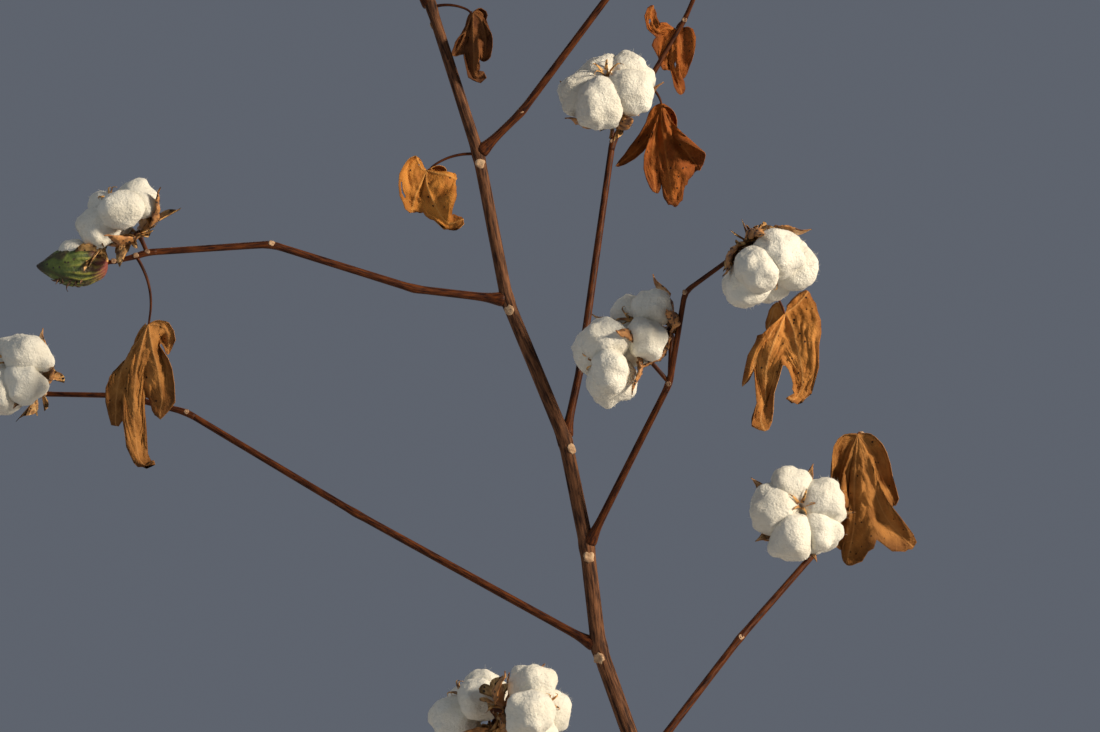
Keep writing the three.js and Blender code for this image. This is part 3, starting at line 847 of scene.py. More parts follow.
lint_finish, lint_tree, lint_shader = mottled_finish(
    "lint", 1.0, 1.3 * MM, base=(0.76, 0.73, 0.63), patch=(0.69, 0.64, 0.52), speck=(0.5, 0.4, 0.26),
    patch_scale=45, patch_share=0.6, speck_scale=150, speck_size=0.012, relief_scale=520,
)
lint_sheen = [("Sheen Weight", 0.12), ("Sheen Roughness", 0.5), ("Specular IOR Level", 0.1)]
feed(lint_tree, lint_shader, lint_sheen)

for k, (name, spray) in enumerate(sprays.items()):
    ripe = [boll for boll in spray["bolls"] if not boll["green"]]
    draw = dice(lint_seed + k)
    mesh = bmesh.new()
    for boll in ripe:
        for lock in range(boll["locks"]):
            wrap_lint(heap_lock(boll, lock, draw), mesh)
    for boll in spray["bolls"]:
        if boll["green"]:
            wrap_lint(heap_crack(boll), mesh)
    mesh.normal_update()
    add_fibres(mesh, fibres_per_boll * len(ripe), draw)
    lint = make_piece(f"{name}_lint", mesh, lint_finish)
    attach(lint, "root")
    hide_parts(f"{name}_spray")

# Husks: the dry shell of each boll has split into narrow pointed valves, brown outside and pale
# inside, that curl back between the locks, with a small dry star in the middle. Round its foot stand
# papery bracts, each a fan of long curled teeth. All of them are bent sheets with a thickness.
valve_course = [(0.03, 0.0), (0.16, 0.0), (0.3, 0.03), (0.4, 0.1), (0.47, 0.19), (0.525, 0.275), (0.6, 0.32)]
valve_widths = [0.05, 0.085, 0.105, 0.09, 0.06, 0.026, 0.003]
valve_length = (0.94, 0.12)
valve_lift = 0.05
valve_twist = 0.9
valve_cup = 0.62
valve_ridge = 0.14
valve_ridge_width = 0.16
valve_uneven = 0.3
valve_crinkle = [(150, 0.4), (380, 0.25)]
valve_grid = (8, 16)
valve_thickness = 0.9 * MM
heart_length = (0.8, 0.5)
heart_width = 0.028
heart_grid = (2, 6)
heart_course = [(0, 0.42), (0.03, 0.53), (0.07, 0.6), (0.12, 0.64), (0.15, 0.61)]
bract_counts = {("right", 2): 8}
green_bracts = [(2.3, 1.35), (3.0, 0.8), (4.0, 1.4)]
bract_scales = {("right", 0): 0.6, ("right", 1): 0.4, ("right", 2): 0.95, ("left", 0): 1.2}
bract_teeth = [(-42, 0.6), (-28, 0.8), (-14, 0.95), (0, 1), (14, 0.95), (28, 0.8), (42, 0.6)]
bract_edge = 54
bract_webs = [(0, 0.23)]
bract_fold = 0.12
bract_root = (0.03, -0.012)
bract_reach = (0.36, 0.76)
bract_lift = (-0.25, 0.65)
green_bract_lift = 0.1
green_bract_growth = 1.7
tooth_breadth = 3.1
tooth_steps = 12
tooth_bend = (5, 11)
tooth_sway = 14
tooth_roll = 260
bend_start = 0.32
blocked_step = 0.1
bract_columns = (0, 0.33, 0.67)
bract_thickness = 0.4 * MM
# The places of the four finishes on a husk.
husk_outer, husk_inner, bract_outer, bract_inner = range(4)
husk_seed = 700
rib_steps = 18
rib_samples = 54
rib_overrun = 0.4
roll_at_root = 0.3
least_bend = 0.01
pinch_place = 0.74
pinch_reach = 0.1
flare_reach = 0.15
flare_growth = 1.4
web_roundness = 1.65
lobe_sharpness = 1.6
lobe_blend = 4
fold_fade = 14 * MM


def smooth_between(values, share):
    """A value or place read off evenly spaced ones, with a smooth curve through them."""
    last = len(values) - 1
    i = min(int(share * last), last - 1)
    t = share * last - i
    a, b, c, d = (values[min(max(k, 0), last)] for k in (i - 1, i, i + 1, i + 2))
    return b + ((c - a) * t + (2 * a - 5 * b + 4 * c - d) * t * t + (3 * b - a - 3 * c + d) * t**3) / 2


def thicken(mesh, front, thickness):
    """Gives a bent sheet its second side and closes the rim between the two."""
    for face in front:
        face.normal_update()
    verts = list({vert: None for face in front for vert in face.verts})
    for vert in verts:
        vert.normal_update()
    rim = [loop for face in front for loop in face.loops if loop.edge.is_boundary]
    twin = bmesh.ops.duplicate(mesh, geom=front)
    for vert in verts:
        twin["vert_map"][vert].co -= vert.normal * thickness
    bmesh.ops.reverse_faces(mesh, faces=[twin["face_map"][face] for face in front])
    for loop in rim:
        ends = loop.link_loop_next.vert, loop.vert
        mesh.faces.new((*ends, twin["vert_map"][ends[1]], twin["vert_map"][ends[0]]), loop.face)


def new_faces(mesh, before):
    return [face for face in mesh.faces if face not in before]


def bend_sheet(mesh, columns, rows, surface, thickness):
    """A flat grid bent to a surface of two shares and given its thickness; returns its faces."""
    before = set(mesh.faces)
    sheet = bmesh.ops.create_grid(mesh, x_segments=columns, y_segments=rows, size=1)["verts"]
    for i, vert in enumerate(sheet):
        vert.co = surface((i % (columns + 1)) / columns, (i // (columns + 1)) / rows)
    bmesh.ops.remove_doubles(mesh, verts=sheet, dist=merge_distance)
    thicken(mesh, new_faces(mesh, before), thickness)
    return new_faces(mesh, before)


def lay_rib(turn, breadth, tubes, points, upward):
    """One rib of a lobed sheet: even (place, ahead, up) stations along a smooth curve."""
    fine = [smooth_between(points, k / rib_samples) for k in range(rib_samples + 1)]
    runs = runs_along(fine)
    length = runs[-1]
    places = [on_chain(fine, runs, length * k / rib_steps) for k in range(rib_steps + 1)]
    ways = [(after - before).normalized() for before, after in zip(places, places[1:])]
    ahead = ways[0]
    up = (upward - ahead * upward.dot(ahead)).normalized()
    stations = []
    for k, place in enumerate(places):
        step = (ways[max(k - 1, 0)] + ways[min(k, rib_steps - 1)]).normalized()
        up = ahead.rotation_difference(step) @ up
        ahead = step
        stations.append((place, ahead, up.copy()))
    return {"turn": turn, "breadth": breadth, "tubes": tubes, "length": length, "stations": stations}


def on_rib(rib, reach, off):
    """A place beside a rib and the way up from it there: so far from the root, so many radians off
    it, each side rolled up. A pinched rib is narrow at three quarters of its length and flares again
    towards its tip."""
    along, beside = reach * math.cos(off), reach * math.sin(off)
    share = min(max(along / rib["length"], 0), 1) * rib_steps
    i = min(int(share), rib_steps - 1)
    place, ahead, up = (a.lerp(b, share - i) for a, b in zip(*rib["stations"][i : i + 2]))
    place = place + ahead * max(0, along - rib["length"]) * rib_overrun
    bend = rib["tubes"][0 if off < 0 else 1] * (roll_at_root + (1 - roll_at_root) * share / rib_steps)
    bend = bend or least_bend
    tipward = along / rib["length"] - pinch_place
    flare = flare_growth * min(max(tipward / flare_reach, 0), 1) - math.exp(-(tipward / pinch_reach) ** 2)
    beside *= 1 + rib.get("pinch", 0) * flare
    across = up.cross(ahead)
    return place + across * math.sin(beside * bend) / bend + up * (1 - math.cos(beside * bend)) / bend, up


def lobe_reach(turn, ribs, webs):
    """How far a lobed sheet reaches at a turn from its middle rib."""
    longest = max(rib["length"] for rib in ribs)
    web = taper(webs, turn) * max(0.0, math.cos(math.radians(turn) / web_roundness))
    total = (web * longest) ** lobe_blend
    for rib in ribs:
        off = abs(turn - rib["turn"]) / rib["breadth"]
        total += (rib["length"] * math.exp(-off ** lobe_sharpness)) ** lobe_blend
    return total ** (1 / lobe_blend)


def lobed_place(ribs, webs, turn, share, folds, ragged=1.0):
    """A place on a lobed sheet, the way out of its face there, and (beside, along) from its rib."""
    reach = share * lobe_reach(turn, ribs, webs) * ragged
    nearest = min(ribs, key=lambda rib: abs(rib["turn"] - turn))
    off = math.radians(turn - nearest["turn"])
    k = sum(rib["turn"] < turn for rib in ribs)
    if k in (0, len(ribs)):
        place, up = on_rib(nearest, reach, off)
    else:
        left, right = ribs[k - 1], ribs[k]
        t = (turn - left["turn"]) / (right["turn"] - left["turn"])
        weight = t * t * (3 - 2 * t)
        first, first_up = on_rib(left, reach, math.radians(turn - left["turn"]))
        second, second_up = on_rib(right, reach, math.radians(turn - right["turn"]))
        joined = min(reach, taper(webs, turn) * max(left["length"], right["length"]))
        gap = (on_rib(left, joined, 0)[0] - on_rib(right, joined, 0)[0]).length
        spare = math.sqrt(max(0, (joined * math.radians(right["turn"] - left["turn"])) ** 2 - gap * gap)) / 2
        spare *= math.exp((joined - reach) / fold_fade)
        up = first_up.lerp(second_up, weight).normalized()
        place = first.lerp(second, weight) + up * folds[k] * spare * math.sin(math.pi * t)
    return place, up, reach * math.sin(off), reach * math.cos(off)


def spread_turns(axes, edge, shares):
    """The turns of a lobed sheet's columns: the same shares of every gap from edge to edge."""
    gaps = zip([-edge, *axes], [*axes, edge])
    return [low + (high - low) * share for low, high in gaps for share in shares] + [edge]


def open_valve(mesh, boll, seam, others, draw):
    """One valve of the husk, cupped towards the lint, its tip curled back. It is left out where
    another boll is in its way."""
    turn = 2 * math.pi * seam / boll["locks"]
    lengthen = drawn(valve_length, draw)
    lift = valve_lift * (draw() - 0.5)
    places = [boll_point(boll, turn, r * lengthen, h + lift * r) for r, h in valve_course]
    outward, across = ways_at(boll, turn)
    twist = valve_twist * (draw() - 0.5)
    if any((places[-1] - centre).length < reach for centre, reach in others):
        return

    def surface(u, v):
        side = 2 * u - 1
        half = max(smooth_between(valve_widths, v), 0.002) * boll["size"]
        inward = (boll["axis"] - outward * (0.2 + v)).normalized()
        swing = across * math.cos(twist * v) + inward * math.sin(twist * v)
        ridge = valve_ridge * math.exp(-(side / valve_ridge_width) ** 2)
        uneven = 1 + valve_uneven * noise.noise(Vector((v * 9, side, turn * 5)))
        place = smooth_between(places, v) + swing * side * half * uneven
        crinkle = sum(depth * noise.noise(place * pitch) for pitch, depth in valve_crinkle)
        return place + inward * half * (valve_cup * side * side + ridge + crinkle * min(1, v * 4))

    for face in bend_sheet(mesh, *valve_grid, surface, valve_thickness):
        inner = face.normal.dot(boll["axis"] - outward * 0.6) > 0.1
        face.material_index = husk_inner if inner else husk_outer


def open_heart(mesh, boll, seam, draw):
    """One arm of the small dry star in the middle of an open boll, laid in the crease of two locks."""
    turn = 2 * math.pi * seam / boll["locks"]
    long = drawn(heart_length, draw)
    places = [boll_point(boll, turn, r * long, h) for r, h in heart_course]
    across = ways_at(boll, turn)[1]

    def surface(u, v):
        half = heart_width * boll["size"] * (1.02 - v)
        return smooth_between(places, v) + across * (2 * u - 1) * half + boll["axis"] * half * abs(2 * u - 1)

    for face in bend_sheet(mesh, *heart_grid, surface, bract_thickness):
        face.material_index = bract_outer


def open_bract(mesh, boll, turn, clasp, scale, others, draw):
    """One bract: a fan from the boll's foot whose long teeth curl, clear of the other bolls."""
    outward, across = ways_at(boll, turn)
    lift = green_bract_lift if boll["green"] else drawn(bract_lift, draw)
    ribs = []
    for tooth, share in bract_teeth:
        length = (bract_reach[0] + (bract_reach[1] - bract_reach[0]) * draw()) * share * scale * boll["size"]
        length *= green_bract_growth if boll["green"] else 1
        bend = drawn(tooth_bend, draw) * (1 if draw() < 0.6 else -1)
        sway = tooth_sway * (draw() - 0.5)
        lean = math.radians(tooth)
        level = outward * math.cos(lean) + across * math.sin(lean)
        beside = across * math.cos(lean) - outward * math.sin(lean)
        place = boll_point(boll, turn, *bract_root)
        points = [place]
        for k in range(tooth_steps):
            late = max(0, (k + 0.5) / tooth_steps - bend_start)
            angle = lift + clasp * min(1, 2 * k / tooth_steps) + bend * late * late
            drift = sway * late * late
            way = level * math.cos(angle) + boll["axis"] * math.sin(angle)
            way = way * math.cos(drift) + beside * math.sin(drift)
            step = way * length / tooth_steps
            met = any((place + step - centre).length < reach for centre, reach in others)
            place = place + step * (blocked_step if met else 1)
            points.append(place)
        tubes = [tooth_roll * (draw() - 0.3)] * 2
        ribs.append(lay_rib(tooth, tooth_breadth, tubes, points, boll["axis"]))
    folds = [bract_fold * (-1) ** k for k in range(len(ribs) + 1)]
    turns = spread_turns([rib["turn"] for rib in ribs], bract_edge, bract_columns)
    columns = len(turns) - 1

    def surface(u, v):
        return lobed_place(ribs, bract_webs, turns[round(u * columns)], v, folds)[0]

    for face in bend_sheet(mesh, columns, tooth_steps, surface, bract_thickness):
        face.material_index = bract_inner if face.normal.dot(boll["axis"]) > 0.2 else bract_outer


husk_finishes = [
    mottled_finish(
        finish, roughness, depth * MM, base=base, patch=patch, speck=speck, patch_scale=patch_scale,
        patch_share=patch_share, speck_scale=300, speck_size=speck_size, relief_scale=relief_scale,
    )[0]
    for finish, roughness, depth, base, patch, speck, patch_scale, patch_share, speck_size, relief_scale in [
        ("husk_outside", 0.6, 1.1, (0.5, 0.225, 0.065), (0.09, 0.028, 0.009), (0.015, 0.006, 0.004),
         190, 0.95, 0.13, 420),
        ("husk_inside", 0.5, 0.4, (0.68, 0.45, 0.24), (0.4, 0.16, 0.05), (0.14, 0.05, 0.015),
         130, 0.85, 0.07, 300),
        ("bract_outside", 0.7, 0.8, (0.82, 0.45, 0.14), (0.14, 0.045, 0.012), (0.02, 0.008, 0.005),
         150, 0.95, 0.12, 500),
        ("bract_inside", 0.65, 0.7, (0.75, 0.44, 0.16), (0.36, 0.14, 0.036), (0.05, 0.02, 0.008),
         170, 0.9, 0.1, 500),
    ]
]
for k, (name, spray) in enumerate(sprays.items()):
    mesh = bmesh.new()
    draw = dice(husk_seed + k)
    for number, boll in enumerate(spray["bolls"]):
        others = [
            (other["base"] + other["axis"] * other["size"] * 0.42, other["size"] * 0.44)
            for other in spray["bolls"] if other is not boll
        ]
        first, scale = 2 * math.pi * draw(), bract_scales.get((name, number), 0.75 + 0.5 * draw())
        count = bract_counts.get((name, number), 3)
        bracts = [(first + 2 * math.pi * bract / count, 0.1) for bract in range(count)]
        if boll["green"]:
            boll["spin"], bracts = 0, green_bracts
        else:
            for seam in range(boll["locks"]):
                open_valve(mesh, boll, seam, others, draw)
                open_heart(mesh, boll, seam, draw)
        for turn, clasp in bracts:
            open_bract(mesh, boll, turn, clasp, scale, others, draw)
    husks = make_piece(f"{name}_husks", mesh, *husk_finishes)
    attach(husks, "root")
    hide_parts(f"{name}_spray")

# Green boll: the one boll at the end of the left branch that hasn't opened, a plump egg with
# shallow grooves between its chambers and a hooked dark beak, green and yellow with a red foot.
# A row of dark curled teeth, the torn edge of its green bract, stands along its underside.
green_plump = 0.335
green_half = 0.44
green_beak = 0.42
green_slim = 0.68
green_chambers = 4
groove_depth = 0.09
groove_edge = 12
vein_ridges = 22
vein_depth = 0.025
vein_sway = 4.5
green_bumps = [(2.6, 0.06), (8, 0.025)]
blunt_ends = 0.13
beak_hook = 0.1
green_segments = (112, 52)
edge_teeth = 12
edge_turn = 0.6
edge_turn_play = 0.4
edge_from = -0.3
edge_run = 1.05
edge_width = 0.045
edge_grid = (2, 8)
edge_seed = 640


def swell_green_boll(boll):
    """The body: a ball drawn out along the boll's axis, with what its colours follow in a layer."""
    side, front = frame_about(boll["axis"])
    mesh = bmesh.new()
    ripeness = mesh.verts.layers.float_vector.new("ripeness")
    around, upwards = green_segments
    bmesh.ops.create_uvsphere(mesh, u_segments=around, v_segments=upwards, radius=1)
    half, plump = boll["size"] * green_half, boll["size"] * green_plump
    for vert in mesh.verts:
        across, forward, up = vert.co
        beak = max(up, 0) ** 4
        turn = math.atan2(forward, across)
        round_off = 1 - up * up
        groove = 1 - groove_depth * abs(math.cos(turn * green_chambers / 2)) ** groove_edge * round_off
        vein = math.cos(turn * vein_ridges + vein_sway * noise.noise(vert.co * 1.5))
        bumps = 1 + sum(depth * noise.noise(vert.co * pitch) for pitch, depth in green_bumps)
        bumps += vein_depth * vein * round_off
        slim = (1 - green_slim * beak) * groove * bumps * (round_off + 0.02) ** -blunt_ends
        hook = beak_hook * beak ** 3
        # The streaks are strong at the foot and fade towards the beak and to one side.
        streak = vein * min(1, max(0.1, 0.45 - 0.8 * up - 0.5 * across))
        vert[ripeness] = Vector((streak, noise.noise(vert.co * 2.2) + 0.16 * across, up))
        vert.co = (
            boll["base"] + boll["axis"] * half * (1 + up + green_beak * beak)
            + front * (across * slim + hook) * plump + side * forward * slim * plump
        )
    return mesh


def add_edge_teeth(mesh, boll, draw):
    """The dark curled teeth of the green bract's edge, in a row along the underside of the boll."""
    side, _ = frame_about(boll["axis"])
    for k in range(edge_teeth):
        up = edge_from + edge_run * (k + 0.6 * draw()) / edge_teeth
        turn = edge_turn + edge_turn_play * (draw() - 0.5)
        outward, across = ways_at(boll, turn * (1 if side.y < 0 else -1))
        reach = green_plump * (1 - up * up) ** 0.5 * 0.9
        place = boll["base"] + (boll["axis"] * green_half * (1 + up) + outward * reach) * boll["size"]
        angle, curl = 0.1 + 0.7 * draw(), 0.9 * (draw() - 0.4)
        step = (0.017 + 0.02 * draw()) * boll["size"]
        places = [place]
        for _ in range(6):
            places.append(places[-1] + (boll["axis"] * math.cos(angle) + outward * math.sin(angle)) * step)
            angle += curl

        def surface(u, v):
            half = edge_width * boll["size"] * (1.03 - v)
            return smooth_between(places, v) + across * (2 * u - 1) * half

        for face in bend_sheet(mesh, *edge_grid, surface, bract_thickness):
            face.material_index = 1


green_skin, green_tree, green_shader = mottled_finish(
    "green_skin", 0.55, 1.2 * MM, base=(0.125, 0.165, 0.022), patch=(0.035, 0.062, 0.01),
    speck=(0.025, 0.01, 0.006), patch_scale=150, patch_share=0.95, speck_scale=260, speck_size=0.1,
    relief_scale=420,
)
dark_edge = mottled_finish(
    "dark_edge", 0.7, 0.4 * MM, base=(0.12, 0.05, 0.018), patch=(0.03, 0.012, 0.006),
    speck=(0.3, 0.16, 0.06), patch_scale=200, patch_share=0.9, speck_scale=300, speck_size=0.1,
    relief_scale=500,
)[0]
green_colour = green_shader.inputs["Base Color"].links[0].from_socket
ripe_place = add_node(green_tree, "Attribute", attribute_name="ripeness")
ripe_parts = add_node(green_tree, "SeparateXYZ", [("Vector", ripe_place.outputs["Vector"])])
# Yellow and dark streaks, dark patches, a red foot and a dark beak, laid one over the other.
for part, low, high, most, colour in [
    ("X", 0.1, 0.8, 0.85, (0.42, 0.38, 0.06)),
    ("X", -0.15, -0.8, 0.8, (0.03, 0.026, 0.008)),
    ("Y", 0.08, 0.36, 0.85, (0.05, 0.03, 0.01)),
    ("Z", -0.35, -0.9, 0.9, (0.24, 0.04, 0.035)),
    ("Z", 0.8, 0.97, 1.0, (0.03, 0.018, 0.008)),
]:
    share = add_node(green_tree, "MapRange", [
        ("Value", ripe_parts.outputs[part]), ("From Min", low), ("From Max", high), ("To Max", most),
    ])
    green_colour = mix_colours(green_tree, share.outputs["Result"], green_colour, colour)
feed(green_tree, green_shader, [("Base Color", green_colour)])
for name, spray in sprays.items():
    for boll in spray["bolls"]:
        if boll["green"]:
            mesh = swell_green_boll(boll)
            add_edge_teeth(mesh, boll, dice(edge_seed))
            green_boll = make_piece(f"{name}_green_boll", mesh, green_skin, dark_edge)
            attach(green_boll, "root")
            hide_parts(f"{name}_spray")

# Leaves: the last dried leaves hang from thin curved petioles. A blade is a sheet of five lobes on
# ribs that hang and curl each its own way, with folds in the web between them, raised veins,
# ragged rolled edges and here and there a hole.

# A grown leaf's lobes: turn from the middle rib, share of its length, breadth in degrees.
leaf_lobes = [(-112, 0.42, 28), (-48, 0.8, 20), (0, 1, 17), (48, 0.8, 20), (112, 0.42, 28)]
leaf_edge = 150
leaf_columns = 14
leaf_rows = 34
grown_webs = [(0, 0.6)]
rib_points = 7
rib_opening = 0.6
opening_fade = 0.25
middle_droop = 0.14
rib_curl = 30
curl_start = 0.6
hook_start = 0.7
rib_tilt = 80
umbrella_turn = 1.4
blade_thickness = 0.45 * MM
blade_hang = 84
blade_crumple = [(55, 3.6 * MM), (130, 2.6 * MM), (290, 1.5 * MM)]
petiole_radius = 0.95 * MM
petiole_arch = 24
petiole_crown = 0.55
petiole_sides = 10
petiole_samples = 12
petiole_spacing = 2 * MM
petiole_end = 3 * MM
blade_rolled = 200 * MM
roll_start = 0.78
crumple_reach = 4 * MM
crumple_at_vein = 0.45
blade_nicks = [(0.13, 0, 0.09), (0.4, 9, 0.05)]
vein_height = 0.45 * MM
vein_width = 0.7 * MM
hole_size = 1.2
leaf_seed = 900
uv_unit = 10 * MM

# The leaves nearest the camera are set out: how far the web reaches at what turn, how deep it folds
# between the lobes, and for each rib its turn in the flat blade, its breadth, how tightly the lobe
# is rolled left and right of it, how much it is pinched and tilted, and its course to the right,
# down and forward in millimetres.
set_blades = {
    "right": [([(-35, 0.3), (15, 0.46)], [0.2, -0.4, -0.5, 0.15, -0.5, 0.2], [
        (-112, 24, (90, 60), 0, 0, [(-5, -4, -3), (-8, 0, -6), (-10, 7, -8), (-11, 14, -9)]),
        (-52, 10, (230, 230), 0, -140, [(-7, 9, 4), (-14, 20, 6), (-21, 34, 6), (-28, 52, 5)]),
        (0, 15, (-160, 18), 0.5, 15, [
            (-6, 15, 6), (-12, 31, 9), (-14, 47.5, 8), (-14, 59, 5), (-17.5, 70, 8), (-16.5, 82, 13),
        ]),
        (46, 19, (20, 60), 0.1, 0, [
            (5, 10, 4), (8, 24, 8), (11, 37.5, 8), (11.5, 50, 6), (6, 60, 10), (1.5, 57, 12),
        ]),
        (112, 30, (30, 40), 0, 0, [(7, -5, -1), (12, -10, -2), (16, -15, -3)]),
    ])],
    "left": [([(-30, 0.52), (10, 0.52), (90, 0.36)], [0.2, -0.4, -0.4, -0.4, -0.6, 0.2], [
        (-112, 22, (120, 60), 0, 0, [(-3, 6, -5), (-6, 16, -8), (-8, 28, -8)]),
        (-42, 17, (90, 20), 0, -35, [(-7, 12, 0), (-14, 24, 2), (-20, 39, 3), (-22, 55, 2), (-23, 68, 1)]),
        (0, 11, (30, 20), 0, 10, [
            (-3, 10, 5), (-7, 28, 8), (-9, 46, 7), (-9.5, 64, 6), (-7.8, 80, 5), (-6, 93, 6), (0, 98, 9),
            (3, 94, 11),
        ]),
        (36, 20, (-60, 60), 0, 20, [(2, 10, 6), (6.5, 28, 8), (9, 41.5, 6), (10, 53, 4), (8, 61, 2)]),
        (105, 22, (60, 80), 0, 20, [(6, 0, -1), (11, 2, -2), (13.5, 9, -3), (13, 20, -4)]),
    ])],
    "back": [([(-110, 0.5), (-56, 0.4), (-30, 0.75), (-12, 0.92), (20, 0.92), (60, 0.85), (110, 0.5)], [
        0.2, 0.3, -0.25, 0.25, 0.25, 0.2,
    ], [
        (-84, 15, (40, 40), 0, 0, [(-5, 14, 0), (-12, 27, 0), (-22, 37, -2), (-33, 45, -2)]),
        (-28, 17, (40, 30), 0, 0, [(-3, 14, 2), (-6, 28, 4), (-7, 42, 5), (-5, 61, 4)]),
        (0, 17, (20, 20), 0, 0, [(0, 14, 4), (2, 30, 6), (5, 50, 7), (8, 70, 5)]),
        (34, 19, (20, 60), 0, 0, [(4, 12, 4), (9, 22, 5), (16, 32, 4), (23, 42, 2)]),
        (100, 20, (60, 150), 0, 0, [(3, 4, -3), (6, 10, -6), (8, 18, -9)]),
    ]), ([(0, 0.66)], [0.2, -0.3, -0.2, 0.2, 0.2], [
        (-125, 22, (90, 50), 0.1, 0, [(-8, -1, 3), (-14, 1, 4), (-19, -9, 4), (-16, -18, 2)]),
        (-40, 20, (100, 50), 0, 0, [(-5, 9, 4), (-7, 20, 5), (-7, 28, 6)]),
        (0, 20, (40, 40), 0.1, 0, [(-3, 14, 5), (-1, 30, 7), (4, 46, 5)]),
        (42, 18, (50, 140), 0, 0, [(3, 8, 3), (4, 20, 4), (4, 34, 2)]),
    ])],
    "right_back": [([(-75, 0.8), (-14, 0.84), (16, 0.86), (60, 0.8), (110, 0.55)], [
        0.2, 0.3, -0.25, 0.25, 0.2, 0.2,
    ], [
        (-75, 18, (170, 40), 0, 0, [(-5, 8, -3), (-9, 18, -4), (-12, 30, -5), (-12, 43, -6)]),
        (-28, 17, (60, 30), 0, 0, [(-5, 18, 2), (-9, 38, 2), (-11, 58, 0), (-11, 80, -2)]),
        (0, 15, (30, 20), 0, 0, [(-2, 22, 5), (-3, 45, 8), (-3, 66, 6), (-7, 88, 3)]),
        (32, 15, (25, 25), 0, 0, [(6, 20, 6), (12, 42, 7), (22, 62, 4), (38, 79, -2)]),
        (76, 18, (30, 170), 0, 0, [(7, 9, 2), (13, 18, 1), (18, 32, 0), (26, 48, -3)]),
    ])],
    "stem_leaf_3": [([(0, 0.66)], [0.2, -0.4, -0.8, 0.6, -0.4, 0.2], [
        (-112, 22, (60, 60), 0, 0, [(-4, -2, 1), (-7, -9, 0)]),
        (-45, 20, (90, 60), 0, 0, [(-4, 9, 3), (-8, 18, 4), (-10, 27, 2)]),
        (0, 18, (60, 60), 0.3, 0, [(0, 10, 4), (5, 22, 5), (12, 34, 2), (17, 37, 3), (24, 34, 5)]),
        (55, 24, (40, 80), 0, 0, [(8, 2, 4), (14, 3, 5), (19, 5, 2)]),
        (112, 24, (60, 60), 0, 0, [(6, -1, -3), (11, 0, -5)]),
    ])],
    "stem_leaf_4": [([(-30, 0.6), (20, 0.78), (90, 0.5)], [0.2, -0.4, -0.5, 0.3, -0.3, 0.2], [
        (-112, 22, (60, 60), 0, 0, [(-2, 5, -4), (-4, 12, -5)]),
        (-44, 17, (60, 40), 0, 0, [(-3, 8, 0), (-6, 16, 1), (-9, 23, 1), (-13, 29, 1)]),
        (0, 19, (60, 40), 0.1, 0, [(0, 14, 4), (1, 28, 5), (1, 40, 3), (3, 45, 1), (7, 43, 1)]),
        (36, 20, (40, 140), 0, 0, [(5, 4, 1), (8, 12, 2), (9, 22, 2), (8, 32, 1)]),
        (112, 22, (60, 160), 0, 0, [(5, -1, -3), (7, 2, -5), (8, 10, -6)]),
    ])],
}


def grow_ribs(length, half, blade, draw):
    """The ribs of a leaf that isn't set out: they open like those of an umbrella and hang down."""
    hook, lobe_hang, fold = blade
    ribs = []
    for turn, share, breadth in leaf_lobes:
        share *= lobe_hang[0 if turn < 0 else 1] ** 0.5 if turn else 1
        last = math.asin(min(0.92, half / (0.85 * share * length))) if turn else middle_droop
        round_out = math.radians(turn * umbrella_turn)
        curl = rib_curl * (draw() - 0.35)
        place, points = Vector(), []
        for k in range(rib_points):
            run = (k + 0.5) / rib_points
            angle = rib_opening * math.exp(-run / opening_fade) + last * (1 - 0.4 * run)
            angle += curl * max(0, run - curl_start) ** 2
            step = Vector((math.sin(round_out), 0, math.cos(round_out))) * math.sin(angle)
            step.y = math.cos(angle)
            place = place + step * share * length / rib_points / MM
            aside = hook * length / MM * max(0, run - hook_start) ** 2 * share
            points.append(place + Vector((aside, 0, 0)))
        tubes = [
            math.sin(fold) / half * (1 + 4 * draw() ** 3) * (1 if draw() < 0.7 else -1) for _ in range(2)
        ]
        ribs.append((turn, breadth, tubes, 0.5 * draw(), rib_tilt * (draw() - 0.5), points))
    folds = [(0.35 + 0.35 * draw()) * (1 if draw() < 0.4 else -1) for _ in range(len(leaf_lobes) + 1)]
    return grown_webs, folds, ribs


def hang_petiole(mesh, start, middle, end, down):
    """A leaf's thin stalk, curved from its node to the root of its blade."""
    curve = []
    for k in range(petiole_samples + 1):
        share = k / petiole_samples
        curve.append(start.lerp(middle, share).lerp(middle.lerp(end, share), share))
    rings = rings_along(
        [*curve, end + down * petiole_end], lambda share, _: petiole_radius * (1.25 - 0.5 * share),
        petiole_spacing,
    )
    before = set(mesh.faces)
    roll_limb(mesh, rings, petiole_sides, bark_relief)
    for face in new_faces(mesh, before):
        face.material_index = 1


def break_holes(mesh, faces, place_of, columns, draw):
    """Takes up to two small holes out of a blade."""
    holes = [
        (int(columns * (0.15 + 0.7 * draw())), int(leaf_rows * (0.45 + 0.45 * draw())))
        for _ in range(int(draw() * 3))
    ]
    lost = set()
    for face in faces:
        column, row = (sum(place_of[vert][k] for vert in face.verts) / 4 for k in range(2))
        if any(math.hypot(column - hole[0], (row - hole[1]) * hole_size) < hole_size for hole in holes):
            lost.add(face)
    bmesh.ops.delete(mesh, geom=list(lost), context="FACES")


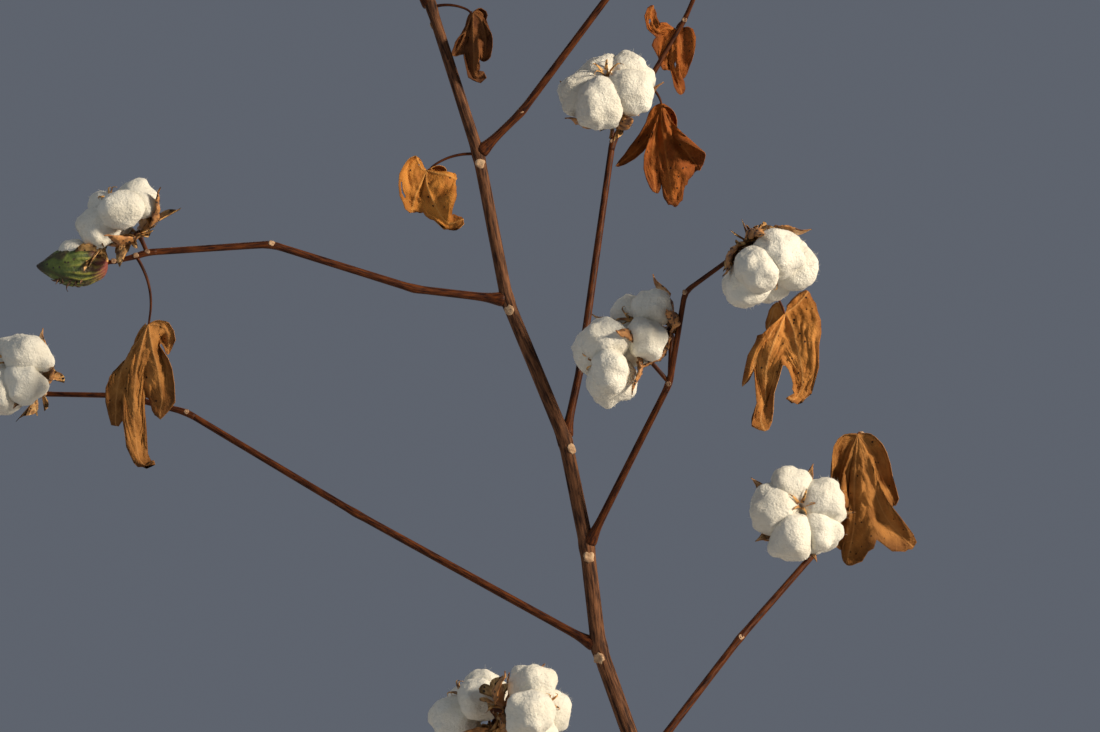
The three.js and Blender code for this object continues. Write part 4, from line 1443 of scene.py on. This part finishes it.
def lay_blade(mesh, ribs, webs, folds, draw):
    """A blade over its ribs: a crumpled sheet with raised veins, ragged rolled edges and holes."""
    grain = grain_of(mesh)
    uv = mesh.loops.layers.uv.get("veins") or mesh.loops.layers.uv.new("veins")
    even = [k / leaf_columns for k in range(leaf_columns)]
    crowded = [share - 0.1 * math.sin(2 * math.pi * share) for share in even]
    turns = spread_turns([rib["turn"] for rib in ribs], leaf_edge, crowded)
    columns = len(turns) - 1
    nick = draw() * 50
    rolled = [(draw() - 0.45) * blade_rolled for _ in range(len(ribs) + 1)]
    veins = {}

    def surface(u, v):
        column = round(u * columns)
        turn = turns[column]
        sector = min(column // leaf_columns, len(ribs))
        ragged = 1
        for pitch, shift, depth in blade_nicks:
            ragged += depth * noise.noise(Vector((turn * pitch, nick, shift)))
        place, up, beside, along = lobed_place(ribs, webs, turn, v, folds, ragged)
        veins[column, round(v * leaf_rows)] = (abs(beside) / uv_unit, along / uv_unit)
        flat = Vector((0, math.hypot(beside, along), 0))
        flat.rotate(Euler((0, 0, -math.radians(turn))))
        raise_by = 0
        for pitch, depth in blade_crumple:
            raise_by += depth * noise.noise(flat * pitch + Vector((0, 0, nick)))
        from_vein = min(1, abs(beside) / crumple_reach)
        raise_by *= min(1, v * 3) * (crumple_at_vein + (1 - crumple_at_vein) * from_vein)
        raise_by += vein_height * math.exp(-(beside / vein_width) ** 2)
        raise_by += rolled[sector] * max(0, v - roll_start) ** 2
        return place + up * raise_by

    before = set(mesh.faces)
    sheet = bmesh.ops.create_grid(mesh, x_segments=columns, y_segments=leaf_rows, size=1)["verts"]
    place_of = {vert: (i % (columns + 1), i // (columns + 1)) for i, vert in enumerate(sheet)}
    for vert, (column, row) in place_of.items():
        vert.co = surface(column / columns, row / leaf_rows)
        vert[grain] = Vector((row / leaf_rows, 0, 0))
    faces = new_faces(mesh, before)
    for face in faces:
        for loop in face.loops:
            loop[uv].uv = veins[place_of[loop.vert]]
    break_holes(mesh, faces, place_of, columns, draw)
    bmesh.ops.remove_doubles(mesh, verts=[vert for vert in sheet if vert.is_valid], dist=merge_distance)
    thicken(mesh, new_faces(mesh, before), blade_thickness)


def hang_leaf(mesh, start, leaf, blade, number, set_blade=None):
    """One petiole and blade, from the node it grows on to its hooked tip."""
    (reach, azimuth, rise), (length, width), face, *hang = leaf
    draw = dice(leaf_seed + number)
    end = start + heading(azimuth, rise) * reach * MM
    middle = start + heading(azimuth, rise + petiole_arch) * reach * petiole_crown * MM
    length, half = length * MM, width * MM / 2
    down = heading(*hang[0]) if hang else heading(azimuth, -blade_hang)
    out = heading(face, 0)
    if set_blade:
        down, out = Vector((0, 0, -1)), Vector((0, -1, 0))
    side = out.cross(down).normalized()
    out = down.cross(side)
    laid = []
    webs, folds, ribs = set_blade or grow_ribs(length, half, blade, draw)
    for turn, breadth, tubes, pinch, tilt, course in ribs:
        points = [end] + [end + (side * x + down * y + out * z) * MM for x, y, z in course]
        facing = out * math.cos(math.radians(tilt)) + side * math.sin(math.radians(tilt))
        laid.append(lay_rib(turn, breadth, tubes, points, facing) | {"pinch": pinch})
    hang_petiole(mesh, start, middle, end, down)
    lay_blade(mesh, laid, webs, folds, draw)


vein_group, vein_in, vein_out = new_group(
    "leaf_veins", [("Leaf", "Color"), ("Vein", "Color"), ("Rim", "Color")], [("Color", "Color")],
)
vein_place = add_node(vein_group, "UVMap", uv_map="veins")
vein_parts = add_node(vein_group, "SeparateXYZ", [("Vector", vein_place.outputs["UV"])])
main_vein = add_node(vein_group, "MapRange", [
    ("Value", vein_parts.outputs["X"]), ("From Min", 0.06), ("From Max", 0.02), ("To Max", 0.6),
])
slanted = add_node(vein_group, "Math", [
    (0, vein_parts.outputs["X"]), (1, -0.8), (2, vein_parts.outputs["Y"]),
], operation="MULTIPLY_ADD")
spaced = add_node(vein_group, "Math", [(0, slanted.outputs[0]), (1, 0.55)], operation="PINGPONG")
side_vein = add_node(vein_group, "MapRange", [
    ("Value", spaced.outputs[0]), ("From Min", 0.04), ("From Max", 0.01), ("To Max", 0.25),
])
vein_share = add_node(vein_group, "Math", [
    (0, main_vein.outputs["Result"]), (1, side_vein.outputs["Result"]),
], operation="MAXIMUM")
margin = add_node(vein_group, "Attribute", attribute_name="grain")
margin_parts = add_node(vein_group, "SeparateXYZ", [("Vector", margin.outputs["Vector"])])
rim_share = add_node(vein_group, "MapRange", [
    ("Value", margin_parts.outputs["X"]), ("From Min", 0.8), ("From Max", 1.0), ("To Max", 0.7),
])
rimmed = mix_colours(vein_group, rim_share.outputs["Result"], vein_in.outputs["Leaf"], vein_in.outputs["Rim"])
vein_colour = mix_colours(vein_group, vein_share.outputs[0], rimmed, vein_in.outputs["Vein"])
feed(vein_group, vein_out, [("Color", vein_colour)])


def leaf_finish(name, base, patch, vein, rim):
    """A dried leaf's finish: mottled blade, paler veins, dark specks and a darker rim."""
    finish, tree, shader = mottled_finish(
        name, 0.7, 1.3 * MM, base=base, patch=patch, speck=(0.03, 0.012, 0.007),
        patch_scale=70, patch_share=0.85, speck_scale=170, speck_size=0.06, relief_scale=330,
    )
    mottled = shader.inputs["Base Color"].links[0].from_socket
    veins = add_node(tree, "Group", [("Leaf", mottled), ("Vein", vein), ("Rim", rim)], node_tree=vein_group)
    feed(tree, shader, [("Base Color", veins.outputs["Color"]), ("Specular IOR Level", 0.12)])
    return finish


leaf_tints = {
    tint: leaf_finish(f"leaf_{tint}", base, patch, vein, rim)
    for tint, base, patch, vein, rim in [
        ("tan", (0.5, 0.21, 0.048), (0.26, 0.09, 0.016), (0.56, 0.28, 0.09), (0.12, 0.036, 0.009)),
        ("golden", (0.5, 0.2, 0.036), (0.26, 0.085, 0.014), (0.56, 0.27, 0.07), (0.13, 0.04, 0.009)),
        ("orange", (0.36, 0.155, 0.038), (0.18, 0.068, 0.015), (0.43, 0.2, 0.06), (0.08, 0.028, 0.008)),
        ("rust", (0.36, 0.105, 0.018), (0.18, 0.046, 0.009), (0.4, 0.14, 0.03), (0.08, 0.022, 0.006)),
        ("umber", (0.17, 0.06, 0.016), (0.066, 0.02, 0.007), (0.22, 0.09, 0.028), (0.03, 0.011, 0.005)),
    ]
}
tint_order = ["orange", "rust", "golden", "umber"]
spray_tints = {
    "right": "tan", "left": "orange", "back": "rust", "right_back": "orange", "upper_right": "rust",
}
number = 0
for k, (name, spray) in enumerate(sprays.items()):
    if not spray["leaves"]:
        continue
    mesh = bmesh.new()
    known = iter(set_blades.get(name, ()))
    for start, leaf, blade in spray["leaves"]:
        hang_leaf(mesh, start, leaf, blade, number, next(known, None))
        number += 1
    tint = leaf_tints[spray_tints.get(name, tint_order[k % len(tint_order)])]
    leaves = make_piece(f"{name}_leaves", mesh, tint, branch_bark)
    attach(leaves, "root")
    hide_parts(f"{name}_spray")

# Stem leaves: five more dried leaves that hang from nodes of the main stem itself, made as the
# others are. Each has its node's number, its petiole, its blade's length and width and the turn
# that its face looks to, in millimetres and degrees, and its tint.
stem_leaves = [
    ("stem_leaf_1", 2, ((52, 20, 10), (84, 46), 290), "golden"),
    ("stem_leaf_2", 4, ((46, 140, 15), (78, 44), 120), "rust"),
    ("stem_leaf_3", 9, ((38, 180, -18), (38, 34), 270), "golden"),
    ("stem_leaf_4", 10, ((30, 350, -8), (45, 26), 270), "umber"),
    ("stem_leaf_5", 12, ((38, 200, 5), (58, 34), 220), "orange"),
]
stem_leaf_seed = 200
first_stem_leaf = 40
for k, (name, node, leaf, tint) in enumerate(stem_leaves):
    mesh = bmesh.new()
    blade = draw_blade(dice(stem_leaf_seed + k))
    hang_leaf(mesh, nodes[node], leaf, blade, first_stem_leaf + k, set_blades.get(name, [None])[0])
    blade_piece = make_piece(f"{name}_blade", mesh, leaf_tints[tint], branch_bark)
    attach(blade_piece, "root")
    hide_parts(name)
